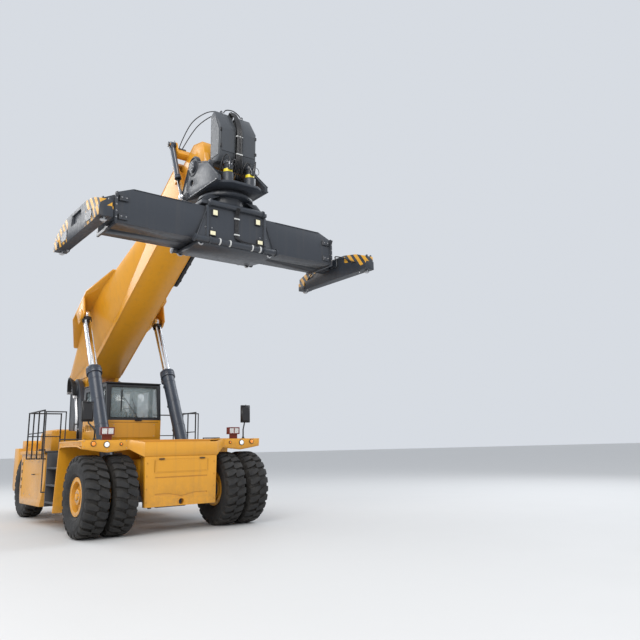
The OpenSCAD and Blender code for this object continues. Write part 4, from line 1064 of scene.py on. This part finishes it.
# Rotator and carriage
p = Piece("rotator_trim", "rotator", N, STL, HOSE, WCL, PALE, BLK, CHR)
p.turn(M(SX, 0, 6712), Z, sleeve(0.561, 0.578, 0.044), 72)
for a, b in circle(40, 520):
    p.bolt(M(SX + a, b, 6765), Z, 0.011, 0.013, 1)
for m_ in (1, -1):
    fx = X * m_
    def mb(x0, x1, *r, **k):
        p.box(M, SX + m_ * x0, SX + m_ * x1, *r, **k)
    def mp(x, y, z):
        return M(SX + m_ * x, y, z)
    # work lamps with rims, upper pair and lower pair
    for y in (-500, 500):
        mb(497, 506, y - 48, y + 48, BZ1 - 178, BZ1 - 72, mi=4, ch=6)
        mb(465, 500, y - 66, y + 66, BZ1 - 196, BZ1 - 54, mi=5, ch=6)
        mb(497, 506, y * 1.1 - 56, y * 1.1 + 56, BZ0 + 100, BZ0 + 180, mi=4, ch=6)
        mb(465, 500, y * 1.1 - 76, y * 1.1 + 76, BZ0 + 84, BZ0 + 196, mi=5, ch=6)
    # hose down the middle with two pale clips
    for k in range(4):
        y = -36 + k * 24
        p.tube([mp(555, y, BZ1 + 60), mp(500, y, BZ1 - 60), mp(484, y, BZ1 - 160), mp(484, y, BZ0 + 180),
            mp(492, y + 40, BZ0 + 110), mp(530, y + 200, BZ0 + 66), mp(535, y + 620, BZ0 + 62)], 0.011, 8, 2)
    for z in (BZ1 - 170, BZ0 + 190):
        mb(470, 502, -62, 62, z, z + 30, mi=3, ch=5)
    # pale bands on the lower tube, collars at the tube ends
    for y in (-420, -190, 330, 520):
        p.turn(mp(492, y, BZ0 - 10), YV, sleeve(0.062, 0.069, 0.03), 28, 3)
    for y in (-960, -640, 610, 930):
        p.turn(mp(492, y, BZ0 - 10), YV, sleeve(0.062, 0.078, 0.03), 28)
    for y in (-630, 600):
        p.turn(mp(492, y, BZ1 + 70), YV, sleeve(0.062, 0.074, 0.03), 28)
    # ring-shaped pin ends under the corners
    for y in (-790, 800):
        p.ring(mp(452, y, BZ0 - 75), fx, 0.046, 0.017, 32, 10, 1)
        p.cyl(mp(430, y, BZ0 - 75), mp(456, y, BZ0 - 75), 0.034, 20, 5)
    # flange round the plate
    q = [mp(469, y, z) for y, z in ((-888, BZ0 + 30), (888, BZ0 + 30), (632, BZ1 + 50), (-632, BZ1 + 50))]
    p.rail(q + [q[0]], 0.012)
    for y in (-700, -560, 560, 700):
        p.bolt(mp(467, y, BZ0 + 250), fx, 0.012, 0.014, 1)
p.done()

# Spreader beam
p = Piece("beam_trim", "beam", N, STL, HOSE, BLK, CHR)
for m_ in (1, -1):
    x = SX + m_ * 420
    for s in SIDES:
        # seams along the edges; the lower one starts beyond the carriage's travel
        for z, a, b in ((BZ0 + 8, 1840, 2470), (BZ1 - 8, 980, 2150)):
            p.rail([M(x, s * a, z), M(x, s * b, z)], 0.010)
        # flange bolts at the beam's mouth, pad carriers with screws
        for z in (5760, 5880, 6000, 6120):
            p.bolt(M(SX + m_ * 470, s * 2480, z), X * m_, 0.012, 0.014, 1)
        for z in (5740, 6100):
            p.box(M, x, x + m_ * 32, s * 2250, s * 2420, z, z + 110, 0, 6)
            for q in (2290, 2380):
                p.bolt(M(SX + m_ * 452, s * q, z + 55), X * m_, 0.012, 0.018, 1)
        # upright bracket on the mouth's corner
        p.plate(M, [(SX + m_ * 470, 6150), (SX + m_ * 430, 6150), (SX + m_ * 430, 6225),
            (SX + m_ * 510, 6225)], s * 2462, s * 2496)
for k in range(2):
    p.tube([M(2440 + k * 60, y, z) for y, z in ((1480, 6384), (1520, 6412), (2080, 6412), (2200, 6380),
        (2430, 6284), (2470, 6250))], 0.020, 10, 0 if k else 3)
for y in (1600, 1850, 2060):
    p.box(M, 2400, 2540, y, y + 26, 6378, 6440, 1, 4)
p.done()

# End beams
for side, s in NAMED_SIDES:
    p = Piece(f"end_beam_trim_{side}", f"gable_{side}", N, STL, HOSE, BLK, PALE)
    for x in (1, -1):
        cx = SX + x * 1129.5
        p.turn(M(cx, s * GY, GZ0 + 180), Z, [(-0.01, 0.085), (0.012, 0.085), (0.03, 0.06),
            (0.09, 0.055), (0.09, 0)], 28)
        for a, b in circle(4, 96, 0.5):
            p.bolt(M(cx + a, s * GY + b, GZ0 + 179), Z, 0.011, 0.016, 1)
        # landing pin beside the lock, cover plate over the lock's linkage
        p.cyl(M(cx - x * 170, s * (GY - 60), GZ0 - 28),
            M(cx - x * 170, s * (GY - 60), GZ0 + 10), 0.020, 16, 1)
        p.box(M, cx - x * 300, cx - x * 620, s * (GY + 99), s * (GY + 108), GZ0 + 60, GZ0 + 250, 0, 5)
        for a in (330, 590):
            for z in (90, 220):
                p.bolt(M(cx - x * a, s * (GY + 107), GZ0 + z), YV * s, 0.009, 0.010, 1)
        # flip-up guide arm's lugs at the nose
        for q in (-70, 40):
            p.box(M, cx + x * 60, cx + x * 104, s * GY + q, s * GY + q + 30, GZ0 + 200, GZ0 + 330, 0, 6)
    bend = ((200, 104, 5900), (240, 150, 5960), (500, 150, 5870), (820, 120, 5700), (980, 60, 5660))
    for x in (1, -1):
        p.hose([M(SX + x * a, s * (GY - b), z) for a, b, z in bend], 0.012, 2, 1)
    p.box(M, SX - 260, SX + 260, s * (GY - 100), s * (GY - 132), 5720, 5900, 0, 8)
    p.done()

# Floor, light
me = bpy.data.meshes.new("floor")
me.from_pydata([(-400, -400, 0), (400, -400, 0), (400, 400, 0), (-400, 400, 0)], [], [(0, 1, 2, 3)])
floor = new_object("floor", me)
k = Mat("pale floor")
k.color(k.mix(k.mul(k.noise(0.5, 5), 0.10), (0.64, 0.64, 0.635), (0.56, 0.56, 0.56)))
k.patchy(0.8, 4, 0.3, 0.8, 0.62, 0.74)
me.materials.append(k.m)

w = scene.world or bpy.data.worlds.new("sky")
scene.world = w
w.use_nodes = True
bg = w.node_tree.nodes.get("Background") or w.node_tree.nodes.new("ShaderNodeBackground")
bg.inputs["Color"].default_value = (0.80, 0.84, 0.90, 1)
bg.inputs["Strength"].default_value = 0.85


def area(loc, target, size, power, col=(1, 1, 1)):
    l_ = bpy.data.lights.new("softbox", "AREA")
    l_.shape = "RECTANGLE"
    l_.size, l_.size_y = size
    l_.energy = power
    l_.color = col
    o = new_object("softbox", l_)
    o.location = loc
    o.rotation_euler = (Vector(target) - Vector(loc)).to_track_quat("-Z", "Y").to_euler()


area((16, -14, 16), (0, 0, 3), (14, 14), 3600, (1.0, 0.97, 0.93))
area((4, 18, 14), (0, 0, 4), (12, 12), 1500, (0.93, 0.96, 1.0))
area((-16, -8, 15), (-2, 0, 3), (12, 12), 1500)
scene.view_settings.view_transform = "Standard"

bpy.context.view_layer.update()
